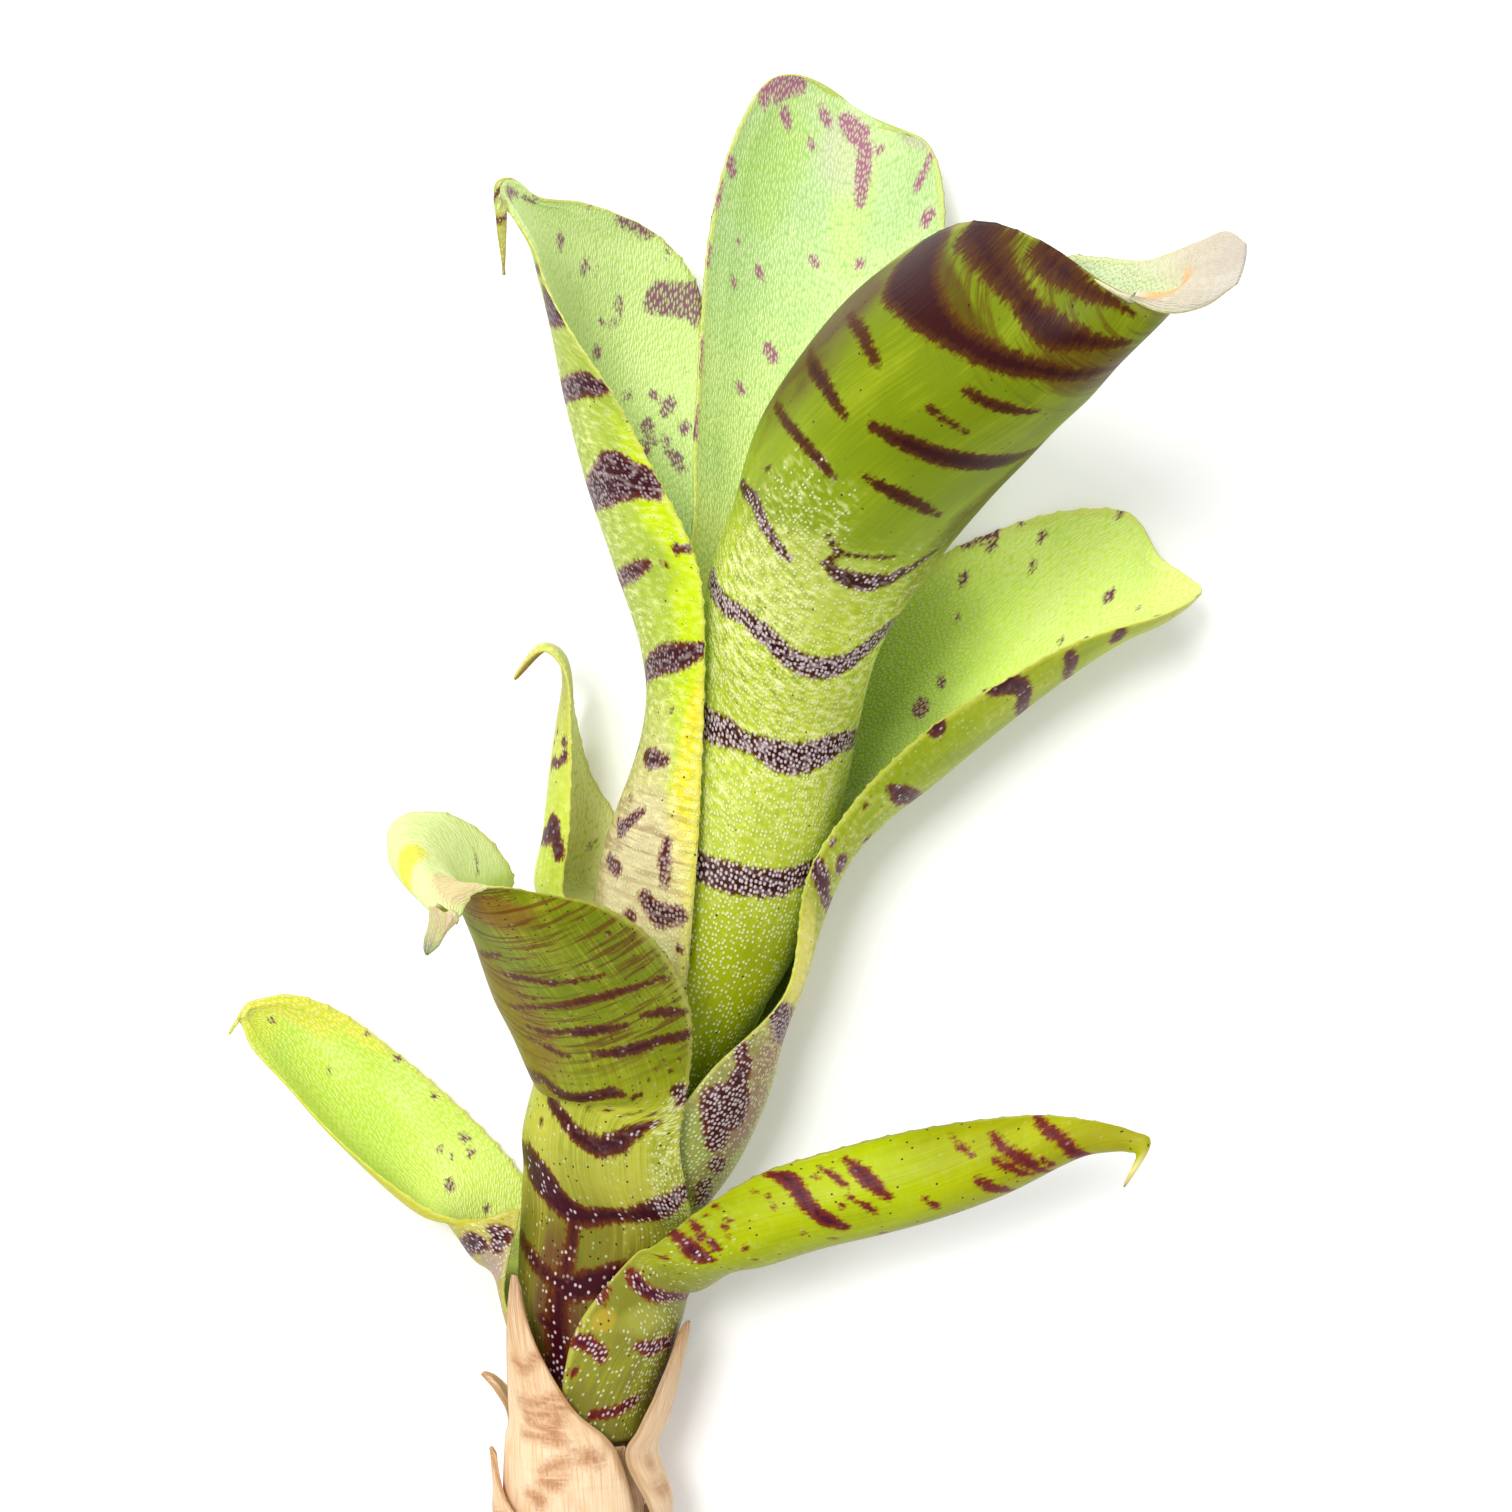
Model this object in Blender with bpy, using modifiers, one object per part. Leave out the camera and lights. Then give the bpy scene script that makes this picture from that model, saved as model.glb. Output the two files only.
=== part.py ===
"""A cut offset of a small banded bromeliad, lying on its back.

The plant is drawn as it looks from above once it lies down: x to the right, y from the foot to the top,
z up towards the eye, in millimetres, with the stem's axis at z = 0. It is then tipped a little, so that
its foot and its back leaves rest on the ground, and written out in metres.
"""

import math

import bmesh
import bpy
import numpy as np

MM = 0.001

# How the plant lies: the eye's height over its axis, its tilt from level, the axis's height at y = 0
EYE = 320.0
TILT = math.radians(3.3)
LIFT = 13.2

# The stem's axis, from its cut end upwards
AXIS = [
    (-17.2, -84.0),
    (-17.0, -68.0),
    (-16.0, -54.0),
    (-13.6, -42.0),
    (-9.0, -29.0),
    (-4.5, -14.0),
    (-1.0, 0.0),
    (1.5, 14.0),
    (3.0, 28.0),
]

# The stem's radius at heights along the axis, from its cut end upwards
STEM = [(0.0, 4.9), (6.0, 5.2), (14.0, 5.0), (24.0, 4.3), (32.0, 3.6), (40.0, 2.8), (46.0, 2.1), (50.0, 1.0)]

LEAF_THICK = 0.7
BRACT_THICK = 0.6
TOOTH = 0.4
LEAF_GRID = (10, 26)
BRACT_GRID = (6, 10)

GREEN = (0.36, 0.52, 0.05)
PALE_GREEN = (0.50, 0.66, 0.18)
STRAW = (0.72, 0.50, 0.32)
BARK = (0.38, 0.24, 0.14)


def smooth(points, t):
    """The smooth curve through points, at t from 0 to the number of spans."""
    points = np.asarray(points, float)
    last = len(points) - 1
    i = min(int(t), last - 1)
    f = t - i
    p1, p2 = points[i], points[i + 1]
    p0 = points[i - 1] if i else 2 * p1 - p2
    p3 = points[i + 2] if i + 2 <= last else 2 * p2 - p1
    slope, bend, twist = p2 - p0, 2 * p0 - 5 * p1 + 4 * p2 - p3, 3 * p1 - p0 - 3 * p2 + p3
    return p1 + 0.5 * (slope * f + bend * f**2 + twist * f**3)


def axis_frame(height):
    """The axis's point at a height along it, and the level direction across it."""
    points = [np.array([x, y, 0.0]) for x, y in AXIS]
    steps = [np.linalg.norm(b - a) for a, b in zip(points, points[1:])]
    i = 0
    while i < len(steps) - 1 and height > steps[i]:
        height -= steps[i]
        i += 1
    t = i + height / steps[i]
    along = smooth(points, min(t + 0.02, len(steps))) - smooth(points, max(t - 0.02, 0.0))
    along /= np.linalg.norm(along)
    return smooth(points, t), np.array([along[1], -along[0], 0.0])


def wrap(height, radius, start, end, shift=0.0, toward=0.0):
    """A leaf's first edge, middle and second edge where it wraps the stem.

    Angles go round the axis: 0 to the right, 90 to the back, 180 to the left, 270 to the eye.
    """
    centre, across = axis_frame(height)

    def ray(degrees):
        a = math.radians(degrees)
        return math.cos(a) * across - np.array([0.0, 0.0, math.sin(a)])

    centre = centre + shift * ray(toward)
    points = [centre + radius * ray(a) for a in (start, (start + end) / 2, end)]
    return [*points, np.ones(3)]


def seen(first, middle, second, roundness=1.0):
    """The same three points of a free blade, each as it shows on the axis's level, with its height."""
    shown = (first, middle, second)
    points = [np.array([x * (EYE - z) / EYE, y * (EYE - z) / EYE, z]) for x, y, z in shown]
    return [*points, np.full(3, roundness)]


def across_blade(a, m, b, roundness, u):
    """The point at u, from 0 to 1, from a through m to b: on a fold's curve, or on a circle's if it is round."""
    fold = (1 - u) ** 2 * a + 2 * u * (1 - u) * (2 * m - (a + b) / 2) + u**2 * b
    e1, e2 = m - a, b - a
    normal = np.cross(e1, e2)
    area = np.dot(normal, normal)
    if area < 1e-4 * np.dot(e1, e1) * np.dot(e2, e2):
        return fold
    centre = a + (np.dot(e2, e2) * np.cross(normal, e1) + np.dot(e1, e1) * np.cross(e2, normal)) / (2 * area)
    r = a - centre
    s = np.cross(normal / math.sqrt(area), r)

    def turn(p):
        return math.atan2(np.dot(p - centre, s), np.dot(p - centre, r)) % (2 * math.pi)

    middle, end = turn(m), turn(b)
    angle = 2 * u * middle if u < 0.5 else middle + (2 * u - 1) * (end - middle)
    circle = centre + math.cos(angle) * r + math.sin(angle) * s
    return fold + roundness[0] * (circle - fold)


def lie(point):
    """A point of the plant once it lies on the ground, in metres: nothing goes below the ground."""
    x, y, z = point
    level = math.cos(TILT) * y - math.sin(TILT) * z
    up = math.sin(TILT) * y + math.cos(TILT) * z + LIFT
    return np.array([x, level, max(up, 0.0)]) * MM


def material(name, colour, roughness):
    made = bpy.data.materials.new(name)
    made.use_nodes = True
    shader = made.node_tree.nodes["Principled BSDF"]
    shader.inputs["Base Color"].default_value = (*colour, 1.0)
    shader.inputs["Roughness"].default_value = roughness
    shader.inputs["Metallic"].default_value = 0.0
    return made


def blade(name, stations, grid, thick, colour, roughness, tooth=0.0, toothed_from=1.0):
    """One leaf or bract: a sheet lofted through stations, its outer face first, then given a thickness."""
    columns, rows = grid
    reach = [0.0]
    for a, b in zip(stations, stations[1:]):
        reach.append(reach[-1] + np.mean([np.linalg.norm(q - p) for p, q in zip(a[:3], b[:3])]))

    def station(v):
        """The sheet's three points at v, from 0 at its foot to 1 at its tip, evenly spaced along it."""
        want = v * reach[-1]
        i = min(np.searchsorted(reach, want, side="right") - 1, len(stations) - 2)
        t = i + (want - reach[i]) / (reach[i + 1] - reach[i])
        return smooth(stations, t)

    mesh = bpy.data.meshes.new(name)
    sheet = bmesh.new()
    bmesh.ops.create_grid(sheet, x_segments=columns, y_segments=rows, size=1.0)
    for vert in sheet.verts:
        u, v = (vert.co.x + 1) / 2, (vert.co.y + 1) / 2
        form = station(v)
        point = across_blade(*form, u)
        row = round(v * rows)
        if tooth and row % 2 and v > toothed_from and min(u, 1 - u) < 0.01 and row < rows - 2:
            inner = across_blade(*form, u + (0.1 if u < 0.5 else -0.1))
            point = point + tooth * (point - inner) / np.linalg.norm(point - inner)
        vert.co = lie(point)
    sheet.to_mesh(mesh)
    sheet.free()
    mesh.shade_smooth()
    mesh.materials.append(material(name, colour, roughness))
    made = bpy.data.objects.new(name, mesh)
    plant.objects.link(made)
    shell = made.modifiers.new("thickness", "SOLIDIFY")
    shell.thickness = thick * MM
    shell.offset = -1.0
    return made


def leaf(name, stations, colour=GREEN, toothed_from=0.35):
    return blade(name, stations, LEAF_GRID, LEAF_THICK, colour, 0.45, TOOTH, toothed_from)


def bract(name, stations):
    return blade(name, stations, BRACT_GRID, BRACT_THICK, STRAW, 0.8)


def make_stem():
    """The woody stem: a tapering tube along the axis, with its lower end cut across."""
    curve = bpy.data.curves.new("stem", "CURVE")
    curve.dimensions = "3D"
    curve.bevel_depth = MM
    curve.bevel_resolution = 3
    curve.use_fill_caps = True
    line = curve.splines.new("POLY")
    line.points.add(len(STEM) - 1)
    for point, (height, radius) in zip(line.points, STEM):
        point.co = (*lie(axis_frame(height)[0]), 1.0)
        point.radius = radius
    curve.materials.append(material("stem", BARK, 0.85))
    plant.objects.link(bpy.data.objects.new("stem", curve))


def make_lower_leaves():
    leaf(
        "leaf_lower_right",
        [
            wrap(16.5, 5.85, 246, 395),
            wrap(20, 6.6, 250, 396),
            wrap(24, 7.9, 255, 396),
            wrap(29, 8.9, 264, 396),
            seen((-12.4, -50.1, 9.5), (-9.2, -52.4, 8.8), (-7.8, -50.2, -3.0)),
            seen((-10.1, -48.9, 10.2), (-5.6, -51.4, 10.2), (-4.6, -47.2, -0.5)),
            seen((-5.6, -45.4, 10.5), (-1.6, -49.8, 11.5), (-1.6, -45.6, 1.5)),
            seen((0.4, -41.8, 10.8), (4.4, -48.2, 12.5), (4.4, -43.9, 3.0)),
            seen((7.4, -39.5, 11.0), (11.0, -46.9, 13.0), (10.9, -41.9, 4.0)),
            seen((14.4, -37.7, 11.5), (17.6, -45.2, 13.5), (17.4, -40.4, 5.0)),
            seen((21.4, -36.5, 12.2), (24.1, -42.8, 14.0), (23.4, -38.9, 6.5)),
            seen((28.4, -35.9, 13.0), (30.2, -40.0, 14.3), (29.4, -37.9, 9.0)),
            seen((33.9, -36.5, 13.8), (34.6, -38.6, 14.6), (34.4, -39.3, 12.0)),
            seen((37.7, -37.5, 14.5), (37.8, -38.5, 14.8), (37.0, -39.6, 13.8)),
            seen((39.5, -38.7, 15.0), (38.6, -39.5, 15.2), (38.0, -40.1, 14.9)),
            seen((37.2, -43.2, 15.5), (36.8, -43.1, 15.6), (36.4, -43.0, 15.5)),
        ],
    )
    leaf(
        "leaf_lower_left",
        [
            wrap(16.5, 5.9, 96, 226),
            wrap(20, 6.4, 98, 224),
            wrap(24, 7.7, 100, 212),
            wrap(27, 8.9, 102, 205),
            wrap(30, 10.0, 106, 204),
            seen((-18.8, -49.2, -9.8), (-28.0, -50.6, -1.5), (-24.6, -49.4, 5.6)),
            seen((-21.8, -44.4, -9.8), (-30.0, -47.6, -2.8), (-23.8, -45.4, 5.8)),
            seen((-24.2, -40.9, -9.8), (-31.0, -44.9, -6.0), (-27.2, -46.2, 3.4)),
            seen((-27.4, -37.3, -10.2), (-33.2, -42.0, -8.8), (-31.6, -46.0, 0.6)),
            seen((-32.1, -32.9, -10.2), (-37.2, -38.0, -9.9), (-36.8, -42.8, -1.5)),
            seen((-36.5, -29.3, -10.0), (-41.0, -33.6, -10.3), (-42.3, -38.1, -3.0)),
            seen((-41.4, -25.7, -9.5), (-45.0, -29.3, -10.0), (-46.8, -33.2, -4.0)),
            seen((-46.1, -23.9, -8.5), (-48.1, -26.5, -9.0), (-50.3, -29.4, -5.0)),
            seen((-49.8, -24.3, -7.5), (-50.6, -25.7, -7.8), (-51.3, -27.2, -6.0)),
            seen((-51.4, -25.2, -6.5), (-51.7, -25.9, -6.5), (-51.9, -26.6, -6.3)),
            seen((-52.3, -27.9, -5.8), (-52.7, -27.8, -5.8), (-53.0, -27.6, -5.8)),
        ],
        PALE_GREEN,
        0.5,
    )


def make_front_leaf():
    leaf(
        "leaf_front",
        [
            wrap(20.5, 5.5, 130, 350),
            wrap(25, 6.2, 130, 350),
            wrap(30, 7.8, 132, 348),
            wrap(38, 9.0, 135, 344),
            wrap(41, 9.9, 138, 321, 0.35, 330),
            wrap(44, 10.7, 140, 309),
            wrap(49, 11.2, 148, 293),
            seen((-21.8, -31.7, 1.5), (-17.4, -34.6, 12.5), (-6.8, -33.0, 11.2), 0.8),
            seen((-24.1, -26.8, 5.5), (-18.8, -30.0, 17.5), (-6.4, -28.5, 13.8), 0.7),
            seen((-26.0, -22.9, 9.5), (-21.0, -26.0, 21.5), (-6.8, -24.4, 17.0), 0.7),
            seen((-26.6, -18.8, 13.0), (-24.0, -22.0, 25.0), (-8.6, -20.4, 21.0), 0.6),
            seen((-25.6, -15.2, 16.0), (-26.6, -18.6, 28.5), (-11.8, -17.0, 25.5), 0.5),
            seen((-24.4, -12.6, 18.5), (-28.4, -16.0, 31.0), (-15.8, -14.9, 29.0), 0.4),
            seen((-24.8, -11.0, 21.5), (-29.4, -14.2, 32.5), (-21.6, -13.7, 31.5), 0.3),
            seen((-27.4, -7.8, 24.0), (-30.6, -12.8, 33.4), (-25.6, -13.2, 33.8), 0.3),
            seen((-31.4, -5.8, 27.0), (-32.4, -11.8, 34.2), (-28.3, -13.9, 35.0), 0.3),
            seen((-35.8, -6.4, 29.5), (-33.6, -11.6, 35.0), (-29.4, -15.6, 36.0), 0.3),
            seen((-36.6, -9.5, 31.5), (-33.6, -13.4, 35.8), (-30.0, -16.8, 36.8), 0.3),
            seen((-34.1, -13.2, 34.5), (-31.8, -15.4, 36.6), (-29.8, -16.6, 37.2), 0.3),
            seen((-32.4, -15.9, 37.0), (-31.9, -16.8, 37.6), (-30.9, -17.7, 37.8), 0.3),
            seen((-33.6, -19.8, 38.6), (-32.9, -20.0, 38.8), (-32.1, -19.8, 38.8), 0.3),
        ],
    )


def make_middle_leaves():
    leaf(
        "leaf_back_left",
        [
            wrap(25.5, 5.2, 88, 225),
            wrap(30, 6.4, 88, 222),
            wrap(42, 8.3, 92, 215),
            wrap(56, 10.5, 95, 208),
            wrap(66, 12.1, 98, 200),
            seen((-10.6, -12.4, -12.6), (-21.8, -14.0, -4.0), (-19.4, -13.9, 1.0)),
            seen((-13.1, -7.4, -12.9), (-21.3, -7.4, -4.5), (-18.8, -7.4, 0.5)),
            seen((-16.6, -1.6, -13.3), (-20.6, -0.9, -5.0), (-18.6, -0.9, 0.0)),
            seen((-18.0, 3.1, -12.0), (-20.0, 3.4, -5.0), (-18.7, 3.6, -0.5)),
            seen((-18.6, 6.6, -9.0), (-19.4, 7.6, -4.5), (-19.0, 7.6, -1.0)),
            seen((-19.4, 9.6, -7.0), (-20.0, 10.1, -4.5), (-20.3, 9.9, -1.5)),
            seen((-21.1, 10.4, -5.0), (-21.6, 10.5, -3.5), (-21.8, 10.2, -2.0)),
            seen((-23.8, 7.4, -3.6), (-24.1, 7.6, -3.2), (-24.4, 7.8, -2.8)),
        ],
        PALE_GREEN,
        0.5,
    )
    leaf(
        "leaf_right",
        [
            wrap(29, 4.9, 262, 438),
            wrap(34, 6.2, 262, 438, 0.5, 0),
            wrap(38, 6.9, 262, 438, 0.6, 0),
            wrap(42, 7.5, 264, 438, 1.8, 0),
            wrap(49, 8.5, 272, 438, 2.4, 0),
            wrap(56, 9.2, 288, 440, 2.1, 0),
            wrap(65, 10.3, 328, 450, 1.1, 0),
            seen((5.2, -12.4, 7.3), (8.5, -11.6, -3.0), (-0.4, -6.4, -12.5)),
            seen((9.4, -5.4, 6.0), (12.9, -6.6, -3.5), (5.4, 3.0, -13.2)),
            seen((13.9, -0.4, 6.0), (17.9, -2.7, -4.0), (10.4, 10.6, -13.8)),
            seen((19.4, 4.1, 6.0), (23.4, 1.8, -4.5), (16.9, 18.8, -14.6)),
            seen((24.9, 7.4, 5.5), (28.8, 6.2, -5.0), (24.4, 22.6, -14.8)),
            seen((30.4, 10.5, 5.0), (33.7, 9.8, -5.0), (30.9, 24.5, -13.5)),
            seen((35.4, 12.4, 4.0), (37.7, 12.3, -4.5), (37.3, 24.3, -11.5)),
            seen((39.9, 13.7, 3.0), (40.9, 13.9, -4.0), (40.4, 20.0, -9.0)),
            seen((42.9, 15.0, 1.0), (43.2, 15.3, -3.5), (42.6, 18.4, -7.0)),
            seen((44.4, 16.0, -2.5), (44.6, 16.5, -3.5), (44.4, 17.1, -4.5)),
        ],
    )
    leaf(
        "leaf_left",
        [
            wrap(34, 4.4, 95, 280),
            wrap(42, 6.2, 95, 280),
            wrap(56, 9.0, 95, 278),
            wrap(72, 11.6, 92, 262),
            wrap(86, 10.7, 92, 246),
            seen((-1.6, 11.6, -10.8), (-11.5, 10.6, 1.5), (-5.3, 14.6, 11.0)),
            seen((-3.1, 20.6, -11.2), (-14.4, 19.6, 0.5), (-6.6, 21.1, 10.2)),
            seen((-3.8, 28.6, -11.5), (-16.8, 26.9, 1.0), (-10.1, 28.1, 9.5)),
            seen((-4.4, 36.6, -12.0), (-19.0, 35.4, 1.5), (-14.1, 35.6, 9.0)),
            seen((-5.1, 42.6, -12.0), (-20.4, 41.9, 2.0), (-18.1, 41.5, 8.5)),
            seen((-6.1, 47.6, -11.5), (-21.5, 46.9, 2.5), (-20.9, 46.4, 8.0)),
            seen((-10.1, 52.3, -9.5), (-22.4, 50.8, 3.0), (-22.2, 50.3, 8.0)),
            seen((-16.6, 55.2, -4.5), (-23.7, 53.4, 4.0), (-23.7, 52.9, 8.0)),
            seen((-21.6, 55.9, 1.0), (-24.9, 55.7, 5.0), (-25.0, 54.6, 8.0)),
            seen((-24.6, 57.8, 4.5), (-25.9, 57.5, 6.5), (-25.9, 55.2, 9.0)),
            seen((-24.9, 54.0, 9.0), (-25.6, 54.0, 10.0), (-26.0, 53.6, 10.2)),
            seen((-24.9, 48.2, 10.2), (-25.2, 48.1, 10.4), (-25.5, 48.2, 10.2)),
        ],
    )


def make_top_leaves():
    leaf(
        "leaf_top",
        [
            wrap(39, 3.9, 18, 165),
            wrap(56, 7.6, 18, 165),
            wrap(72, 10.2, 18, 165),
            wrap(86, 9.5, 14, 168),
            seen((12.4, 19.6, -1.0), (3.9, 19.6, -10.2), (-6.6, 21.1, -3.0)),
            seen((14.9, 31.6, -2.5), (4.4, 30.6, -11.4), (-6.3, 30.6, -4.0)),
            seen((16.9, 42.6, -4.5), (5.6, 42.6, -12.8), (-5.6, 42.6, -5.5)),
            seen((18.8, 51.6, -7.0), (6.6, 51.6, -14.2), (-4.8, 51.6, -7.0)),
            seen((18.5, 58.1, -9.0), (7.6, 59.1, -15.2), (-3.2, 59.1, -9.0)),
            seen((16.9, 61.6, -11.5), (8.4, 63.8, -16.0), (-0.8, 64.9, -11.0)),
            seen((13.8, 62.6, -13.5), (8.8, 65.3, -16.4), (1.6, 67.8, -13.0)),
            seen((11.1, 63.1, -15.0), (9.0, 65.6, -16.3), (4.9, 68.0, -14.8)),
            seen((9.6, 64.4, -15.8), (9.0, 65.2, -16.0), (8.2, 65.8, -15.8)),
        ],
        PALE_GREEN,
        0.45,
    )
    leaf(
        "leaf_upper_right",
        [
            wrap(43, 3.6, 200, 370),
            wrap(56, 6.5, 200, 370),
            wrap(72, 9.2, 202, 370, 1.2, 340),
            wrap(86, 9.3, 204, 375, 1.2, 340),
            seen((-4.2, 19.6, 4.8), (6.0, 7.6, 13.2), (12.2, 15.0, 2.0), 0.75),
            seen((-1.1, 26.6, 8.5), (10.6, 16.4, 19.0), (16.2, 22.6, 6.0)),
            seen((1.9, 35.6, 14.0), (17.4, 23.6, 25.0), (22.8, 30.2, 12.0)),
            seen((9.4, 45.6, 20.0), (24.8, 29.8, 30.0), (28.4, 37.0, 18.0), 0.9),
            seen((15.9, 51.1, 25.0), (31.7, 34.9, 34.0), (31.0, 44.0, 23.0), 0.6),
            seen((21.9, 53.5, 31.0), (36.4, 39.4, 38.0), (31.2, 49.6, 28.5), 0.4),
            seen((28.4, 51.6, 37.0), (40.0, 43.0, 41.5), (34.0, 49.9, 33.0), 0.3),
            seen((34.9, 47.3, 42.0), (42.2, 45.4, 44.3), (39.4, 49.6, 38.5), 0.3),
            seen((40.2, 44.4, 45.0), (44.4, 47.6, 45.0), (44.6, 51.4, 42.0), 0.3),
            seen((44.6, 44.8, 46.5), (47.0, 48.4, 46.2), (47.2, 52.4, 44.5), 0.3),
            seen((48.2, 47.2, 47.2), (48.9, 49.2, 47.0), (49.1, 51.1, 46.2), 0.3),
        ],
    )


def make_bracts():
    bract(
        "bract_front",
        [
            wrap(5, 6.3, 178, 314),
            wrap(9, 8.0, 178, 312),
            wrap(15, 7.7, 182, 303, 0.4, 180),
            wrap(17.5, 7.8, 186, 287),
            wrap(20, 8.1, 192, 263),
            wrap(25, 9.1, 206, 239),
            wrap(29, 10.2, 215, 229),
            wrap(32, 10.9, 220, 224),
        ],
    )
    bract(
        "bract_right",
        [
            wrap(5, 6.7, 324, 405),
            wrap(9, 8.9, 322, 405),
            wrap(15, 7.7, 308, 402, 0.4, 180),
            wrap(18, 8.2, 312, 396),
            wrap(22.4, 9.1, 325, 382),
            wrap(26, 9.6, 333, 362),
            wrap(29, 9.9, 341, 348),
        ],
    )
    bract(
        "bract_inner",
        [
            wrap(7, 6.2, 290, 335),
            wrap(10, 6.9, 290, 332),
            wrap(14, 6.5, 292, 322, 0.4, 180),
            wrap(16.2, 6.8, 300, 310, 0.2, 180),
        ],
    )
    bract(
        "bract_left_hook",
        [
            wrap(5, 6.3, 128, 173),
            wrap(9, 8.0, 128, 173),
            wrap(14, 7.6, 138, 176, 0.4, 180),
            wrap(17.5, 7.9, 150, 180),
            wrap(19.8, 9.2, 162, 182),
            wrap(21.2, 10.9, 170, 176),
        ],
    )
    bract(
        "bract_left_low",
        [
            wrap(1.5, 6.0, 165, 245),
            wrap(4, 7.6, 165, 245),
            wrap(8, 9.1, 166, 235),
            wrap(11, 9.2, 170, 210),
            wrap(14.5, 9.6, 176, 184),
        ],
    )
    bract(
        "bract_back",
        [
            wrap(4, 6.2, 52, 122),
            wrap(8, 8.6, 52, 122),
            wrap(15, 7.8, 55, 122),
            wrap(20, 8.6, 62, 118),
            wrap(25, 9.9, 74, 104),
            wrap(28.5, 10.6, 86, 94),
        ],
    )


def centre_over_origin():
    """Moves everything level, so that the middle of the plant's box is over the origin."""
    bpy.context.view_layer.update()
    places = bpy.context.evaluated_depsgraph_get()
    points = []
    for thing in plant.objects:
        made = thing.evaluated_get(places)
        mesh = made.to_mesh()
        points += [made.matrix_world @ vert.co for vert in mesh.vertices]
        made.to_mesh_clear()
    points = np.array(points)
    x, y, _ = (points.min(axis=0) + points.max(axis=0)) / 2
    for thing in plant.objects:
        thing.location = (-x, -y, 0.0)


for old in list(bpy.data.objects):
    bpy.data.objects.remove(old)
plant = bpy.data.collections.new("neoregelia_bromeliad")
bpy.context.scene.collection.children.link(plant)
make_stem()
make_lower_leaves()
make_front_leaf()
make_middle_leaves()
make_top_leaves()
make_bracts()
centre_over_origin()
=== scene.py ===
"""The looks of a cut neoregelia offset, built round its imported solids."""

import math

import bpy
import numpy as np
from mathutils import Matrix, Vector


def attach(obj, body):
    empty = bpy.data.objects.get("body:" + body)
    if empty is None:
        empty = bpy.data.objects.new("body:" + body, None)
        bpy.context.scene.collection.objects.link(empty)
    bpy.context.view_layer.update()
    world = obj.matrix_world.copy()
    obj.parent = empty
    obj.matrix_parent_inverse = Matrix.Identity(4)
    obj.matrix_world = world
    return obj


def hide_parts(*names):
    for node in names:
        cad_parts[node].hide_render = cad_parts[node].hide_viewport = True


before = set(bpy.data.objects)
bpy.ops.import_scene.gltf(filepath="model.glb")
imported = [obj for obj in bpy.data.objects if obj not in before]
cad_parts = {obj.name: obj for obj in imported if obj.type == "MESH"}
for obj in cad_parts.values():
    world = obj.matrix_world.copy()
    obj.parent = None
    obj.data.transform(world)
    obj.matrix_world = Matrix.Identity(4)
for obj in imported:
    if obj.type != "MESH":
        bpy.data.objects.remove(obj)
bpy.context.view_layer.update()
mm = 0.001

# Camera
# It looks straight down the plant's own middle, from 320 mm over the stem's axis, and the plant lies
# tipped a little from level and moved over the origin. The lens takes in 151.2 mm at that distance.
eye_height = 320.0
tilt = math.radians(3.3)
axis_lift = 13.2
over_origin = np.array([4.648067, 6.424721, 0.0])
seen_width = 151.2
sensor_width = 36.0

camera_data = bpy.data.cameras.new("camera")
camera_data.sensor_width = sensor_width
camera_data.lens = sensor_width * eye_height / seen_width
camera = bpy.data.objects.new("camera", camera_data)
camera.rotation_euler = (tilt, 0.0, 0.0)
camera.location = (
    over_origin[0] * mm,
    (over_origin[1] - math.sin(tilt) * eye_height) * mm,
    (math.cos(tilt) * eye_height + axis_lift) * mm,
)
camera_data.clip_start = 0.01
bpy.context.scene.collection.objects.link(camera)
bpy.context.scene.camera = camera
bpy.context.scene.view_settings.view_transform = "Standard"

# Floor and light
# A plain white table under a soft box beyond the leaf tips, with soft light from all round.
# The leaves' insides face the soft box and their outsides lie in its shade.
bpy.ops.object.select_all(action="DESELECT")
floor_width, under_plant = 6.0, 0.2 * mm
bpy.ops.mesh.primitive_plane_add(size=floor_width, location=(0.0, 0.0, -under_plant))
floor = bpy.context.object
floor.name = "floor"
floor_paint = bpy.data.materials.new("white_table")
floor_paint.use_nodes = True
floor_shader = floor_paint.node_tree.nodes["Principled BSDF"]
floor_shader.inputs["Base Color"].default_value = (0.93, 0.93, 0.93, 1.0)
floor_shader.inputs["Roughness"].default_value = 0.9
floor_shader.inputs["Specular IOR Level"].default_value = 0.2
floor_shader.inputs["Emission Color"].default_value = (1.0, 1.0, 1.0, 1.0)
floor_shader.inputs["Emission Strength"].default_value = 0.15
floor.data.materials.append(floor_paint)

world = bpy.data.worlds.new("soft_room")
bpy.context.scene.world = world
world.use_nodes = True
world.node_tree.nodes["Background"].inputs["Color"].default_value = (1.0, 1.0, 1.0, 1.0)
world.node_tree.nodes["Background"].inputs["Strength"].default_value = 0.6

for name, place, aim, size, watts in (
    ("soft_box", (-0.5, 1.2, 0.9), (0.0, 0.0, 0.02), 0.5, 7.0),
    ("top_light", (-0.35, 0.25, 1.35), (0.0, 0.0, 0.0), 0.4, 11.5),
):
    lamp = bpy.data.lights.new(name, "AREA")
    lamp.energy = watts
    lamp.size = size
    holder = bpy.data.objects.new(name, lamp)
    holder.location = place
    aim_line = Vector(aim) - Vector(place)
    holder.rotation_euler = aim_line.to_track_quat("-Z", "Y").to_euler()
    bpy.context.scene.collection.objects.link(holder)

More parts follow.
